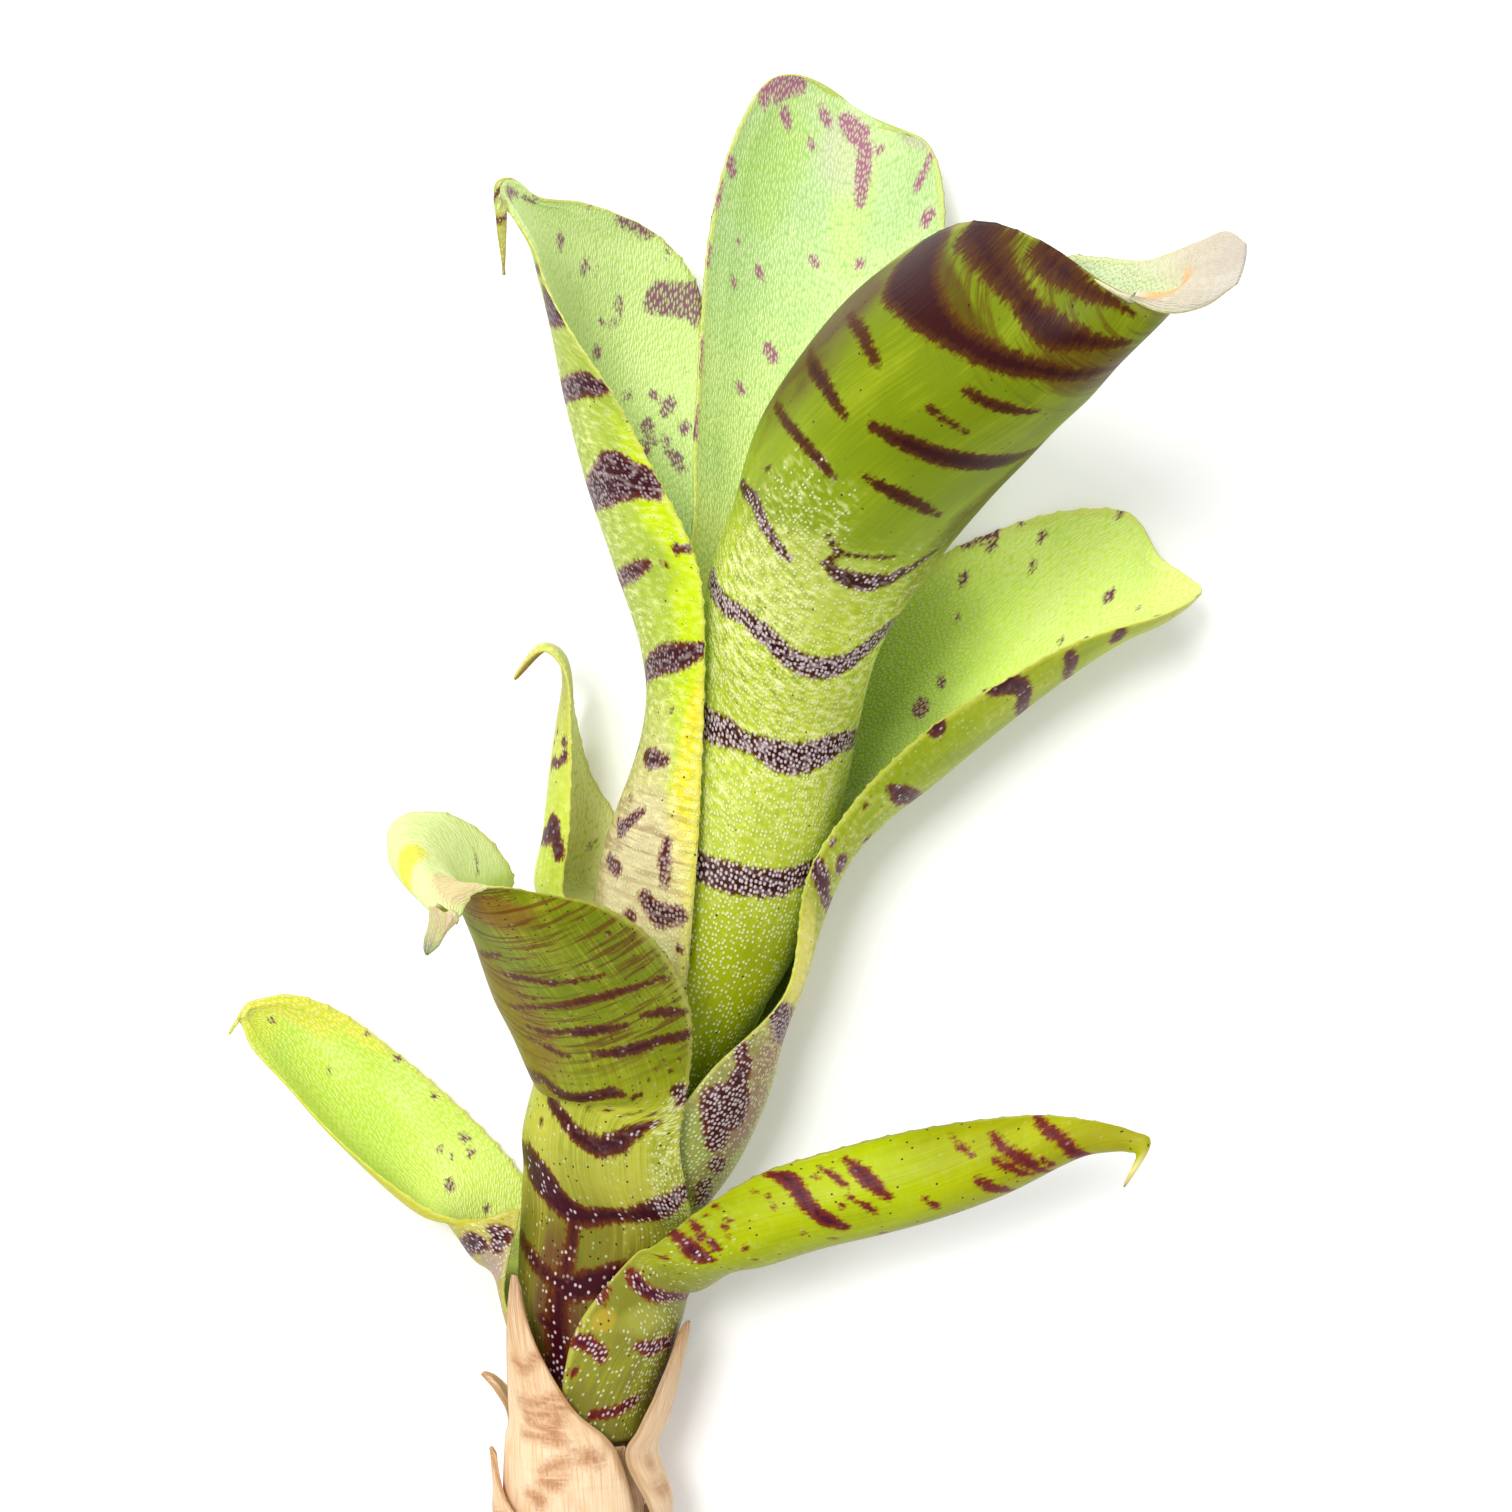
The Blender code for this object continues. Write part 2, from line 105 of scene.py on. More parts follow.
# Lower right leaf
# The outermost green leaf: its sheath wraps the foot, and its blade bends out to the right with its
# outside showing, up to a thin hooked spine. Leaves are 0.7 mm thick and thin out at their margins.
axis_points = [
    (-17.2, -84), (-17, -68), (-16, -54), (-13.6, -42), (-9, -29), (-4.5, -14), (-1, 0), (1.5, 14), (3, 28),
]


def smooth(points, t):
    """The smooth curve through points, at t from 0 to the number of spans."""
    points = np.asarray(points, float)
    last = len(points) - 1
    i = min(int(t), last - 1)
    f = t - i
    p1, p2 = points[i], points[i + 1]
    p0 = points[i - 1] if i else 2 * p1 - p2
    p3 = points[i + 2] if i + 2 <= last else 2 * p2 - p1
    slope, bend, twist = p2 - p0, 2 * p0 - 5 * p1 + 4 * p2 - p3, 3 * p1 - p0 - 3 * p2 + p3
    return p1 + 0.5 * (slope * f + bend * f**2 + twist * f**3)


def axis_frame(height):
    """The stem axis's point at a height along it, and the level direction across it."""
    points = [np.array([x, y, 0.0]) for x, y in axis_points]
    steps = [np.linalg.norm(b - a) for a, b in zip(points, points[1:])]
    i = 0
    while i < len(steps) - 1 and height > steps[i]:
        height -= steps[i]
        i += 1
    t = i + height / steps[i]
    along = smooth(points, min(t + 0.02, len(steps))) - smooth(points, max(t - 0.02, 0.0))
    along /= np.linalg.norm(along)
    return smooth(points, t), np.array([along[1], -along[0], 0.0])


def wrap(height, radius, start, end, shift=0.0, toward=0.0):
    """A leaf's first edge, middle and second edge where it wraps the stem."""
    centre, level = axis_frame(height)

    def ray(degrees):
        a = math.radians(degrees)
        return math.cos(a) * level - np.array([0.0, 0.0, math.sin(a)])

    centre = centre + shift * ray(toward)
    return [*[centre + radius * ray(a) for a in (start, (start + end) / 2, end)], np.ones(3)]


def seen(first, middle, second, roundness=1.0):
    """The same three points of a free blade, as they show on the axis's level, with their heights."""
    shown = (first, middle, second)
    points = [
        np.array([x * (eye_height - z) / eye_height, y * (eye_height - z) / eye_height, z])
        for x, y, z in shown
    ]
    return [*points, np.full(3, roundness)]


def across_blade(form, u):
    """Points across a blade at all u from 0 to 1, from its first edge through its middle to its second."""
    a, m, b, roundness = form
    u = u[:, None]
    fold = (1 - u) ** 2 * a + 2 * u * (1 - u) * (2 * m - (a + b) / 2) + u**2 * b
    e1, e2 = m - a, b - a
    normal = np.cross(e1, e2)
    area = np.dot(normal, normal)
    if area < 1e-4 * np.dot(e1, e1) * np.dot(e2, e2):
        return fold
    to_centre = np.dot(e2, e2) * np.cross(normal, e1) + np.dot(e1, e1) * np.cross(e2, normal)
    centre = a + to_centre / (2 * area)
    r = a - centre
    s = np.cross(normal / math.sqrt(area), r)

    def turn(p):
        return math.atan2(np.dot(p - centre, s), np.dot(p - centre, r)) % (2 * math.pi)

    middle, end = turn(m), turn(b)
    angle = np.where(u < 0.5, 2 * u * middle, middle + (2 * u - 1) * (end - middle))
    circle = centre + np.cos(angle) * r + np.sin(angle) * s
    return fold + roundness[0] * (circle - fold)


def lie(points):
    """Points of the plant once it lies on the table, in metres."""
    x, y, z = points[..., 0], points[..., 1], points[..., 2]
    level = math.cos(tilt) * y - math.sin(tilt) * z
    up = math.sin(tilt) * y + math.cos(tilt) * z + axis_lift
    return (np.stack([x, level, np.maximum(up, 0.0)], axis=-1) + over_origin) * mm


def sheet_points(stations, columns, rows):
    """The outer face's points, rows + 1 by columns + 1, evenly spaced along the sheet, in millimetres."""
    reach = [0.0]
    for a, b in zip(stations, stations[1:]):
        reach.append(reach[-1] + np.mean([np.linalg.norm(q - p) for p, q in zip(a[:3], b[:3])]))
    u = np.linspace(0.0, 1.0, columns + 1)
    grid = []
    for row in range(rows + 1):
        want = row / rows * reach[-1]
        i = min(np.searchsorted(reach, want, side="right") - 1, len(stations) - 2)
        t = i + (want - reach[i]) / (reach[i + 1] - reach[i])
        grid.append(across_blade(smooth(stations, t), u))
    return np.array(grid)


def marking_depth(marks, across, along, columns, rows):
    """How deep each point of a face lies in the nearest marking, in millimetres; below 0 outside it."""
    depth = np.full(across.shape, -3.0)
    for stroke in marks:
        places = []
        for u, v, half in stroke if isinstance(stroke, list) else (stroke, stroke):
            r, c = v / 1000 * rows, u / 100 * columns
            r0, c0 = min(int(r), rows - 1), min(int(c), columns - 1)
            fr, fc = r - r0, c - c0
            pair = []
            for field in (across, along):
                low = field[r0, c0] * (1 - fc) + field[r0, c0 + 1] * fc
                high = field[r0 + 1, c0] * (1 - fc) + field[r0 + 1, c0 + 1] * fc
                pair.append(low * (1 - fr) + high * fr)
            places.append((*pair, half / 10))
        for (x0, y0, w0), (x1, y1, w1) in zip(places, places[1:]):
            dx, dy = x1 - x0, y1 - y0
            length2 = max(dx * dx + dy * dy, 1e-9)
            t = np.clip(((across - x0) * dx + (along - y0) * dy) / length2, 0, 1)
            gap = np.hypot(across - x0 - t * dx, along - y0 - t * dy)
            depth = np.maximum(depth, w0 + t * (w1 - w0) - gap)
    return depth


def grow_sheet(
    name, sheath, blade, columns, step, outer_marks, inner_marks,
    thick=0.7, teeth=0.22, point=0.0, thin=0.35,
):
    """One leaf or bract as a closed sheet, with the UV maps and attributes that its skin reads.

    Each row of sheath is what wrap takes, from the foot up, and each row of blade what seen takes. A mark
    is one spot, or a list of spots that a stroke runs through. A spot is its place across the sheet in
    hundredths, its place along it in thousandths, and half its width in tenths of a millimetre.
    """
    tip_width, tip_curve = 0.18, 0.6
    tooth_every, far_tooth_shift, tooth_top, tooth_reach = 2.3, 0.9, 0.7, 0.2
    teeth_from, teeth_to = 0.3, 0.95
    thin_margin, thin_tip = 0.12, 0.05
    stations = [wrap(*row) for row in sheath] + [seen(*row) for row in blade]
    coarse = sheet_points(stations, 8, 40)
    longest = np.linalg.norm(np.diff(coarse, axis=0), axis=2).sum(0).max()
    rows = int(longest / step)
    points = sheet_points(stations, columns, rows)
    steps_across = np.linalg.norm(np.diff(points, axis=1), axis=2)
    across = np.concatenate([np.zeros((rows + 1, 1)), np.cumsum(steps_across, axis=1)], axis=1)
    across -= across[:, columns // 2][:, None]
    steps_along = np.linalg.norm(np.diff(points, axis=0), axis=2)
    along = np.concatenate([np.zeros((1, columns + 1)), np.cumsum(steps_along, axis=0)], axis=0)
    along += (along[-1].mean() - along[-1])[None, :] * np.linspace(0, 1, rows + 1)[:, None]
    u_all, v_all = np.meshgrid(np.linspace(0, 1, columns + 1), np.linspace(0, 1, rows + 1))

    if point:
        to_tip = np.clip((along[-1, columns // 2] - along[:, columns // 2]) / point, 0, 1)
        narrow = (tip_width + (1 - tip_width) * to_tip**tip_curve)[:, None, None]
        middle = points.mean(axis=1, keepdims=True)
        points = middle + (points - middle) * narrow

    if teeth:
        row = np.arange(rows + 1)
        grown = np.clip((row / rows - teeth_from) * 8, 0, 1) * np.clip((teeth_to - row / rows) * 12, 0, 1)
        for edge, inner, shift in ((0, 1, 0.0), (columns, columns - 1, far_tooth_shift)):
            out = points[:, edge] - points[:, inner]
            out /= np.linalg.norm(out, axis=1)[:, None]
            spaced = (row * step + shift) % tooth_every / tooth_every
            height = teeth * np.clip(1 - np.abs(spaced - tooth_top) / tooth_reach, 0, 1) * grown
            points[:, edge] += out * height[:, None]

    bpy.ops.object.select_all(action="DESELECT")
    bpy.ops.mesh.primitive_grid_add(x_subdivisions=columns, y_subdivisions=rows, size=2.0)
    piece = bpy.context.object
    piece.name = name
    mesh = piece.data
    mesh.name = name
    co = np.zeros(len(mesh.vertices) * 3)
    mesh.vertices.foreach_get("co", co)
    co = co.reshape(-1, 3)
    column = np.rint((co[:, 0] + 1) / 2 * columns).astype(int)
    row = np.rint((co[:, 1] + 1) / 2 * rows).astype(int)
    placed = lie(points)[row, column]
    mesh.vertices.foreach_set("co", placed.ravel())
    corner = np.zeros(len(mesh.loops), int)
    mesh.loops.foreach_get("vertex_index", corner)
    mesh.uv_layers[0].name = "spread"
    mesh.uv_layers.new(name="size")
    for layer, first, second in (("spread", u_all, v_all), ("size", across, along)):
        pairs = np.stack([first[row, column], second[row, column]], axis=1)[corner]
        mesh.uv_layers[layer].data.foreach_set("uv", pairs.ravel())
    body = piece.vertex_groups.new(name="body")
    from_edge = np.minimum(u_all, 1 - u_all)[row, column]
    from_tip = (1 - v_all)[row, column]
    fullness = np.clip(np.minimum(from_edge / thin_margin, from_tip / thin_tip), 0, 1)
    for tenth in range(11):
        body.add(np.flatnonzero(np.rint(fullness * 10) == tenth).tolist(), tenth / 10, "REPLACE")
    mesh.update()

    shell = piece.modifiers.new("thickness", "SOLIDIFY")
    shell.thickness = thick * mm
    shell.offset = -1.0
    shell.vertex_group = "body"
    shell.thickness_vertex_group = thin
    bpy.ops.object.modifier_apply(modifier="thickness")
    half = len(placed)
    co = np.zeros(len(mesh.vertices) * 3)
    mesh.vertices.foreach_get("co", co)
    outer = marking_depth(outer_marks, across, along, columns, rows)[row, column]
    inner = marking_depth(inner_marks, across, along, columns, rows)[row, column]
    faces = [(outer, np.zeros(half)), (inner, np.ones(half))]
    if np.abs(co.reshape(-1, 3)[:half] - placed).max() > 1e-6:
        faces.reverse()
    for key, halves in zip(("marking", "inside"), zip(*faces)):
        values = np.concatenate(halves).astype(np.float32)
        mesh.attributes.new(key, "FLOAT", "POINT").data.foreach_set("value", values)
    mesh.shade_smooth()
    return piece


class Wire:
    """A shader value: expressions on it add Math nodes, and other nodes come from its node method.

    Colours, and places on a ramp, are given in percent.
    """

    def __init__(self, socket, tree):
        self.socket = socket
        self.tree = tree

    def node(self, kind, output=0, settings=(), **sockets):
        made = self.tree.nodes.new(kind)
        for key, value in dict(settings).items():
            if key == "stops":
                stops = made.color_ramp.elements
                for place, *_ in value[2:]:
                    stops.new(place / 100)
                for stop, (place, *colour) in zip(stops, sorted(value)):
                    stop.position = place / 100
                    stop.color = (*[light / 100 for light in colour], 1.0)
            else:
                setattr(made, key, value)
        for key, value in sockets.items():
            place = made.inputs[int(key[1:]) if key[1:].isdigit() else key]
            if isinstance(value, Wire):
                self.tree.links.new(value.socket, place)
            elif place.type == "RGBA":
                place.default_value = (*[light / 100 for light in value], 1.0)
            else:
                place.default_value = value
        return Wire(made.outputs[output], self.tree)

    def math(self, operation, *others, clamp=False):
        values = {f"i{i}": value for i, value in enumerate((self, *others))}
        return self.node("ShaderNodeMath", 0, {"operation": operation, "use_clamp": clamp}, **values)

    def __add__(self, other):
        return self.math("ADD", other)

    __radd__ = __add__

    def __sub__(self, other):
        return self.math("SUBTRACT", other)

    def __rsub__(self, other):
        return (self * -1.0).math("ADD", other)

    def __mul__(self, other):
        return self.math("MULTIPLY", other)

    __rmul__ = __mul__

    def clamp(self):
        return self.math("ADD", 0.0, clamp=True)

    def over(self, below, colour):
        """This value as the share of colour laid over the colour below."""
        settings = {"data_type": "RGBA", "clamp_factor": True}
        return self.node("ShaderNodeMix", 2, settings, i0=self, i6=below, i7=colour)

    def scaled(self, x, y):
        """This vector with its two parts scaled."""
        return self.node("ShaderNodeVectorMath", 0, {"operation": "MULTIPLY"}, i0=self, i1=(x, y, 1.0))

    def noise(self, detail, roughness=0.55):
        values = {"Vector": self, "Scale": 1.0, "Detail": detail, "Roughness": roughness}
        return self.node("ShaderNodeTexNoise", 0, {"noise_dimensions": "2D"}, **values)

    def cells(self, output, randomness):
        values = {"Vector": self, "Scale": 1.0, "Randomness": randomness}
        return self.node("ShaderNodeTexVoronoi", output, {"voronoi_dimensions": "2D"}, **values)

    def ramp(self, *stops):
        return self.node("ShaderNodeValToRGB", 0, {"stops": list(stops)}, Fac=self)

    def red(self):
        return self.node("ShaderNodeSeparateColor", 0, Color=self)

    def into(self, shader, socket):
        self.tree.links.new(self.socket, shader.inputs[socket])

    def raises(self, shader, height):
        """This value as relief, height millimetres high."""
        relief = self.node("ShaderNodeBump", 0, Strength=0.6, Distance=height * mm, Height=self)
        relief.into(shader, "Normal")


def blank_skin(name):
    """A new material, its shader, and its tree's first wire."""
    skin = bpy.data.materials.new(name)
    skin.use_nodes = True
    return skin, skin.node_tree.nodes["Principled BSDF"], Wire(None, skin.node_tree)


def sheet_wires(base):
    """Where a point of a sheet lies on it as shares and in millimetres, its face and its marking depth."""
    spread, size = [base.node("ShaderNodeUVMap", 0, {"uv_map": each}) for each in ("spread", "size")]
    u, v = [base.node("ShaderNodeSeparateXYZ", part, Vector=spread) for part in (0, 1)]
    inside, marking = [
        base.node("ShaderNodeAttribute", 2, {"attribute_name": each}) for each in ("inside", "marking")
    ]
    return u, v, size, inside, marking


def leaf_skin(
    name, outer, inner, frost, frosted=(), outer_patches=(), inner_patches=(),
    band=(4.5, 0.4, 0.8), band_rim=(15, 3, 0.8), spot=(19, 4.5, 10), specks=0.06, haze=(0, 0, 0),
    light=(60, 68, 10), deep=(13, 20, 0.4), inner_light=(88, 100, 42), gap=(48, 70, 12),
    rows_share=1.0, bead_share=1.0, fibre_share=0.6, margin_share=0.45,
):
    """Leaf skin: green ground, maroon bands, raised white scales outside with painted sheen on their
    puckers, fine pale rows inside.

    Along the leaf, outer and inner give each face's colour, and frost how densely its scales stand. Frosted
    places are given by place across and along, width, length and strength, and patches the same way,
    with their colour before the strength. All of it is in percent, and so is haze, the stretch with faint
    cross streaks and their strength.
    """
    margin, pale_fleck_and_sheen, row_light = (70, 68, 12), (90, 92, 40), (98, 100, 66)
    bead_colour, pale_bead = (70, 56, 58), (88, 92, 50)
    row_half, bead_radius, mote_radius, edge_width = 0.46, 0.38, 0.17, 0.03
    skin, shader, base = blank_skin(name)
    u, v, size, inside, marking = sheet_wires(base)
    outside = 1 - inside

    clouds = size.scaled(0.16, 0.09).noise(3.0) - 0.5
    fibres = size.scaled(3.6, 0.08).noise(2.0, 0.6) - 0.5
    ripple = size.scaled(0.8, 1.5).noise(2.0, 0.5) - 0.5
    streaks = size.scaled(1.8, 0.5).noise(2.0, 0.6) - 0.5
    grains = size.scaled(3.0, 2.4).noise(2.0, 0.6) - 0.5

    def spot_share(at_u, at_v, wide, long):
        across_spot = (u - at_u / 100) * (100 / wide)
        along_spot = (v - at_v / 100) * (100 / long)
        return ((1 - across_spot * across_spot - along_spot * along_spot + clouds * 1.6) * 1.6).clamp()

    want = v.ramp(*[(place, share, share, share) for place, share in frost]).red() * (1 + clouds * 1.8)
    for *where, more in frosted:
        want = want + spot_share(*where) * (more / 100)
    want = want.clamp() * outside

    ground = inside.over(v.ramp(*outer), v.ramp(*inner))
    shade = clouds * 1.3 + fibres * fibre_share
    ground = shade.clamp().over(ground, inside.over(light, inner_light))
    ground = (shade * -1.0).clamp().over(ground, inside.over(deep, gap))
    for face, patches in ((outside, outer_patches), (inside, inner_patches)):
        for *where, colour, share in patches:
            ground = (spot_share(*where) * face * (share / 100)).over(ground, colour)
    # Puckers: pale flecks of scale on their ridges, partly painted sheen, and darker ground in their
    # hollows.
    pucker = ripple * want * ((v - 0.2) * 5).clamp()
    ground = (pucker * 5.0).clamp().over(ground, pale_fleck_and_sheen)
    ground = (pucker * -2.5).clamp().over(ground, deep)
    haze_low, haze_high, haze_share = [part / 100 for part in haze]
    across_streaks = (size.scaled(0.12, 1.3).noise(3.0, 0.6) - 0.5) * 9
    haze_window = ((v - haze_low) * 14).clamp() * ((haze_high - v) * 14).clamp() * haze_share
    ground = (across_streaks.clamp() * haze_window * outside).over(ground, band_rim)
    cells = size.scaled(3.3, 1.5).cells(0, 0.75)
    rows = ((row_half - cells) * 4).clamp() * inside
    gaps = ((cells - row_half) * 3).clamp() * inside
    ground = (rows * 0.35 * rows_share).over(ground, row_light)
    ground = (gaps * 0.8 * rows_share).over(ground, gap)
    edge = ((edge_width - u.math("MINIMUM", 1 - u)) * 50 + clouds * 3).clamp()
    ground = (edge * margin_share).over(ground, margin)

    depth = marking + streaks * (0.9 - inside * 0.5) + grains * (0.7 + inside * 0.4)
    mask = (depth * 2.4 + 0.5).clamp() * (1 - rows * 0.6)
    pigment = inside.over((depth * 1.1).clamp().over(band_rim, band), spot)
    motes = size.scaled(1.2, 1.1)
    mote = ((mote_radius - motes.cells(0, 1.0)) * 12).clamp()
    mote = mote * ((specks - motes.cells(1, 1.0).red()) * 20).clamp() * outside
    ground = mote.over(ground, band)
    colour = mask.over(ground, pigment)
    # Over the bands the pucker ridges take the scales' colour: partly white scales, partly painted sheen.
    colour = (pucker * mask * 4).clamp().over(colour, bead_colour)

    dots = size.scaled(2.2, 1.75)
    kept = ((want * (1 + mask * 0.7) - dots.cells(1, 0.7).red()) * 8).clamp()
    bead = ((bead_radius + mask * 0.03 - dots.cells(0, 0.7)) * 6).clamp() * kept
    colour = (bead * (0.65 + mask * 0.25) * bead_share).over(colour, mask.over(pale_bead, bead_colour))

    colour.into(shader, "Base Color")
    (0.4 + bead * 0.3 + fibres * 0.15).into(shader, "Roughness")
    (bead * 0.8 + pucker * 1.3 + rows * 0.5 + fibres * 0.25 + clouds * 0.5).raises(shader, 0.22)
    shader.inputs["Specular IOR Level"].default_value = 0.14
    return skin


def dress(piece, node, skin):
    """Gives a piece its skin and puts it in its node's place."""
    piece.data.materials.clear()
    piece.data.materials.append(skin)
    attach(piece, "root")
    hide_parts(node)


lower_right = grow_sheet("lower_right_leaf", sheath=[
    (16.5, 5.85, 246, 395), (20, 6.6, 250, 396), (24, 7.9, 255, 396), (29, 8.9, 264, 396),
], blade=[
    ((-12.4, -50.1, 9.5), (-9.2, -52.4, 8.8), (-7.8, -50.2, -3)),
    ((-10.1, -48.9, 10.2), (-5.6, -51.4, 10.2), (-4.6, -47.2, -0.5)),
    ((-5.6, -45.4, 10.5), (-1.6, -49.8, 11.5), (-1.6, -45.6, 1.5)),
    ((0.4, -41.8, 10.8), (4.4, -48.2, 12.5), (4.4, -43.9, 3)),
    ((7.4, -39.5, 11), (11, -46.9, 13), (10.9, -41.9, 4)),
    ((14.4, -37.7, 11.5), (17.6, -45.2, 13.5), (17.4, -40.4, 5)),
    ((21.4, -36.5, 12.2), (24.1, -42.8, 14), (23.4, -38.9, 6.5)),
    ((28.4, -35.9, 13), (30.2, -40, 14.3), (29.4, -37.9, 9)),
    ((33.9, -36.5, 13.8), (34.6, -38.6, 14.6), (34.4, -39.3, 12)),
    ((37.7, -37.5, 14.5), (37.8, -38.5, 14.8), (37, -39.6, 13.8)),
    ((39.5, -38.7, 15), (38.6, -39.5, 15.2), (38, -40.1, 14.9)),
    ((37.2, -43.2, 15.5), (36.8, -43.1, 15.6), (36.4, -43, 15.5)),
], columns=44, step=0.42, point=3, outer_marks=[
    [(0, 812, 3), (10, 812, 5), (20, 817, 6), (40, 832, 5), (60, 845, 8), (75, 860, 6)],
    [(16, 750, 4), (25, 755, 5), (35, 765, 6), (45, 778, 6), (65, 800, 3)],
    [(33, 740, 3), (42, 755, 5), (56, 775, 3)], [(45, 795, 3), (58, 805, 3.5)],
    [(42, 710, 4), (48, 718, 6), (54, 728, 6), (62, 742, 4)],
    [(10, 703, 1.5), (20, 708, 3), (26, 720, 2)], [(42, 640, 2), (50, 648, 4.5)],
    [(10, 570, 4), (18, 580, 8), (26, 590, 9), (36, 600, 5)],
    [(10, 535, 2), (18, 550, 4.5), (24, 557, 3)], [(30, 555, 2.5), (42, 575, 3.5)],
    [(4, 475, 6), (10, 492, 10), (18, 498, 10), (28, 500, 8), (40, 510, 9), (48, 525, 6)], (15, 527, 3.5),
    [(0, 340, 5), (10, 342, 6), (20, 340, 9), (30, 338, 10), (38, 340, 7), (45, 345, 3)],
    [(2, 362, 2), (12, 362, 5), (22, 360, 3), (30, 363, 5), (37, 363, 4)],
    [(10, 240, 6), (20, 232, 11), (30, 225, 11), (38, 220, 10), (55, 225, 9), (90, 230, 10)],
    [(0, 215, 5), (3, 200, 6)], (0, 165, 4), [(3, 145, 9), (10, 140, 8), (15, 130, 7), (17, 120, 5)],
    [(32, 140, 5), (42, 135, 10), (50, 140, 8), (90, 145, 9)], (5, 100, 5.5),
    [(20, 40, 6), (35, 45, 8), (45, 60, 7)], (5, 395, 3), (7, 380, 2), (18, 460, 2.5), (20, 400, 3),
    (23, 390, 3.5), (32, 385, 2.5), (45, 392, 4), (55, 385, 2.5), (25, 460, 3), (10, 447, 2.5),
    (35, 540, 3), (55, 500, 4), (60, 560, 4.5), (18, 302, 3.5), (47, 470, 2.5), (62, 660, 3),
], inner_marks=[(30, 600, 8), (60, 500, 10), (40, 720, 7), (70, 800, 6)])
dress(lower_right, "leaf_lower_right", leaf_skin(
    "lower_right_skin",
    outer=[(0, 22, 20, 3), (24, 27, 26, 3), (34, 36, 42, 0), (60, 42, 51, 0), (75, 34, 36, 0),
        (95, 36, 33, 1), (97.5, 80, 72, 30), (100, 50, 30, 14)],
    inner=[(0, 60, 65, 20), (40, 55, 72, 12), (95, 60, 75, 15)],
    outer_patches=[(11, 17.5, 7, 2, (70, 46, 3), 45), (30, 18, 16, 3, (50, 50, 8), 60),
        (80, 60, 30, 30, (20, 20, 0.2), 70)],
    frost=[(0, 30), (25, 30), (34, 10), (45, 3), (100, 2)], frosted=[(50, 14, 16, 10, 50)],
    band=(6, 0.3, 2), light=(56, 64, 0), deep=(20, 22, 0), band_rim=(22, 3, 0.4), specks=0.12,
))

# Lower left leaf
# Its partner on the other side, open towards the camera: a shallow trough of pale, thin leaf. Its sheath
# clasps the back and the left of the stem.
lower_left = grow_sheet("lower_left_leaf", sheath=[
    (16.5, 5.9, 96, 226), (20, 6.4, 98, 224), (24, 7.7, 100, 212), (27, 8.9, 102, 205),
    (30, 10, 106, 204),
], blade=[
    ((-18.8, -49.2, -9.8), (-28, -50.6, -1.5), (-24.6, -49.4, 5.6)),
    ((-21.8, -44.4, -9.8), (-30, -47.6, -2.8), (-23.8, -45.4, 5.8)),
    ((-24.2, -40.9, -9.8), (-31, -44.9, -6), (-27.2, -46.2, 3.4)),
    ((-27.4, -37.3, -10.2), (-33.2, -42, -8.8), (-31.6, -46, 0.6)),
    ((-32.1, -32.9, -10.2), (-37.2, -38, -9.9), (-36.8, -42.8, -1.5)),
    ((-36.5, -29.3, -10), (-41, -33.6, -10.3), (-42.3, -38.1, -3)),
    ((-41.4, -25.7, -9.5), (-45, -29.3, -10), (-46.8, -33.2, -4)),
    ((-46.1, -23.9, -8.5), (-48.1, -26.5, -9), (-50.3, -29.4, -5)),
    ((-49.8, -24.3, -7.5), (-50.6, -25.7, -7.8), (-51.3, -27.2, -6)),
    ((-51.4, -25.2, -6.5), (-51.7, -25.9, -6.5), (-51.9, -26.6, -6.3)),
    ((-52.3, -27.9, -5.8), (-52.7, -27.8, -5.8), (-53, -27.6, -5.8)),
], columns=44, step=0.42, teeth=0.3, point=2.6, outer_marks=[
    [(55, 330, 10), (70, 330, 13), (76, 330, 15)], [(92, 330, 13), (90, 310, 10)],
    [(20, 600, 9), (60, 620, 8)], [(30, 750, 8), (70, 740, 9)],
], inner_marks=[
    (12, 515, 6), (16, 488, 5), (42, 457, 8), (30, 525, 4), (28, 500, 3), (5, 600, 4), (2, 695, 4),
    (1, 760, 3), (50, 760, 3), (52, 900, 4), (25, 385, 5),
])
dress(lower_left, "leaf_lower_left", leaf_skin(
    "lower_left_skin",
    outer=[(0, 40, 30, 10), (30, 42, 30, 8), (40, 50, 42, 2), (50, 60, 56, 2), (100, 55, 62, 4)],
    inner=[(0, 60, 70, 14), (40, 74, 88, 15), (60, 62, 84, 5), (85, 64, 86, 5), (93, 80, 84, 2),
        (97.5, 90, 80, 20), (100, 30, 16, 10)],
    outer_patches=[(85, 28, 20, 4, (45, 30, 30), 70)],
    inner_patches=[(10, 87, 30, 10, (90, 82, 3), 80), (2, 78, 14, 8, (90, 80, 3), 70)],
    frost=[(0, 50), (40, 30), (60, 10), (100, 5)], light=(82, 95, 28), deep=(42, 60, 4),
))

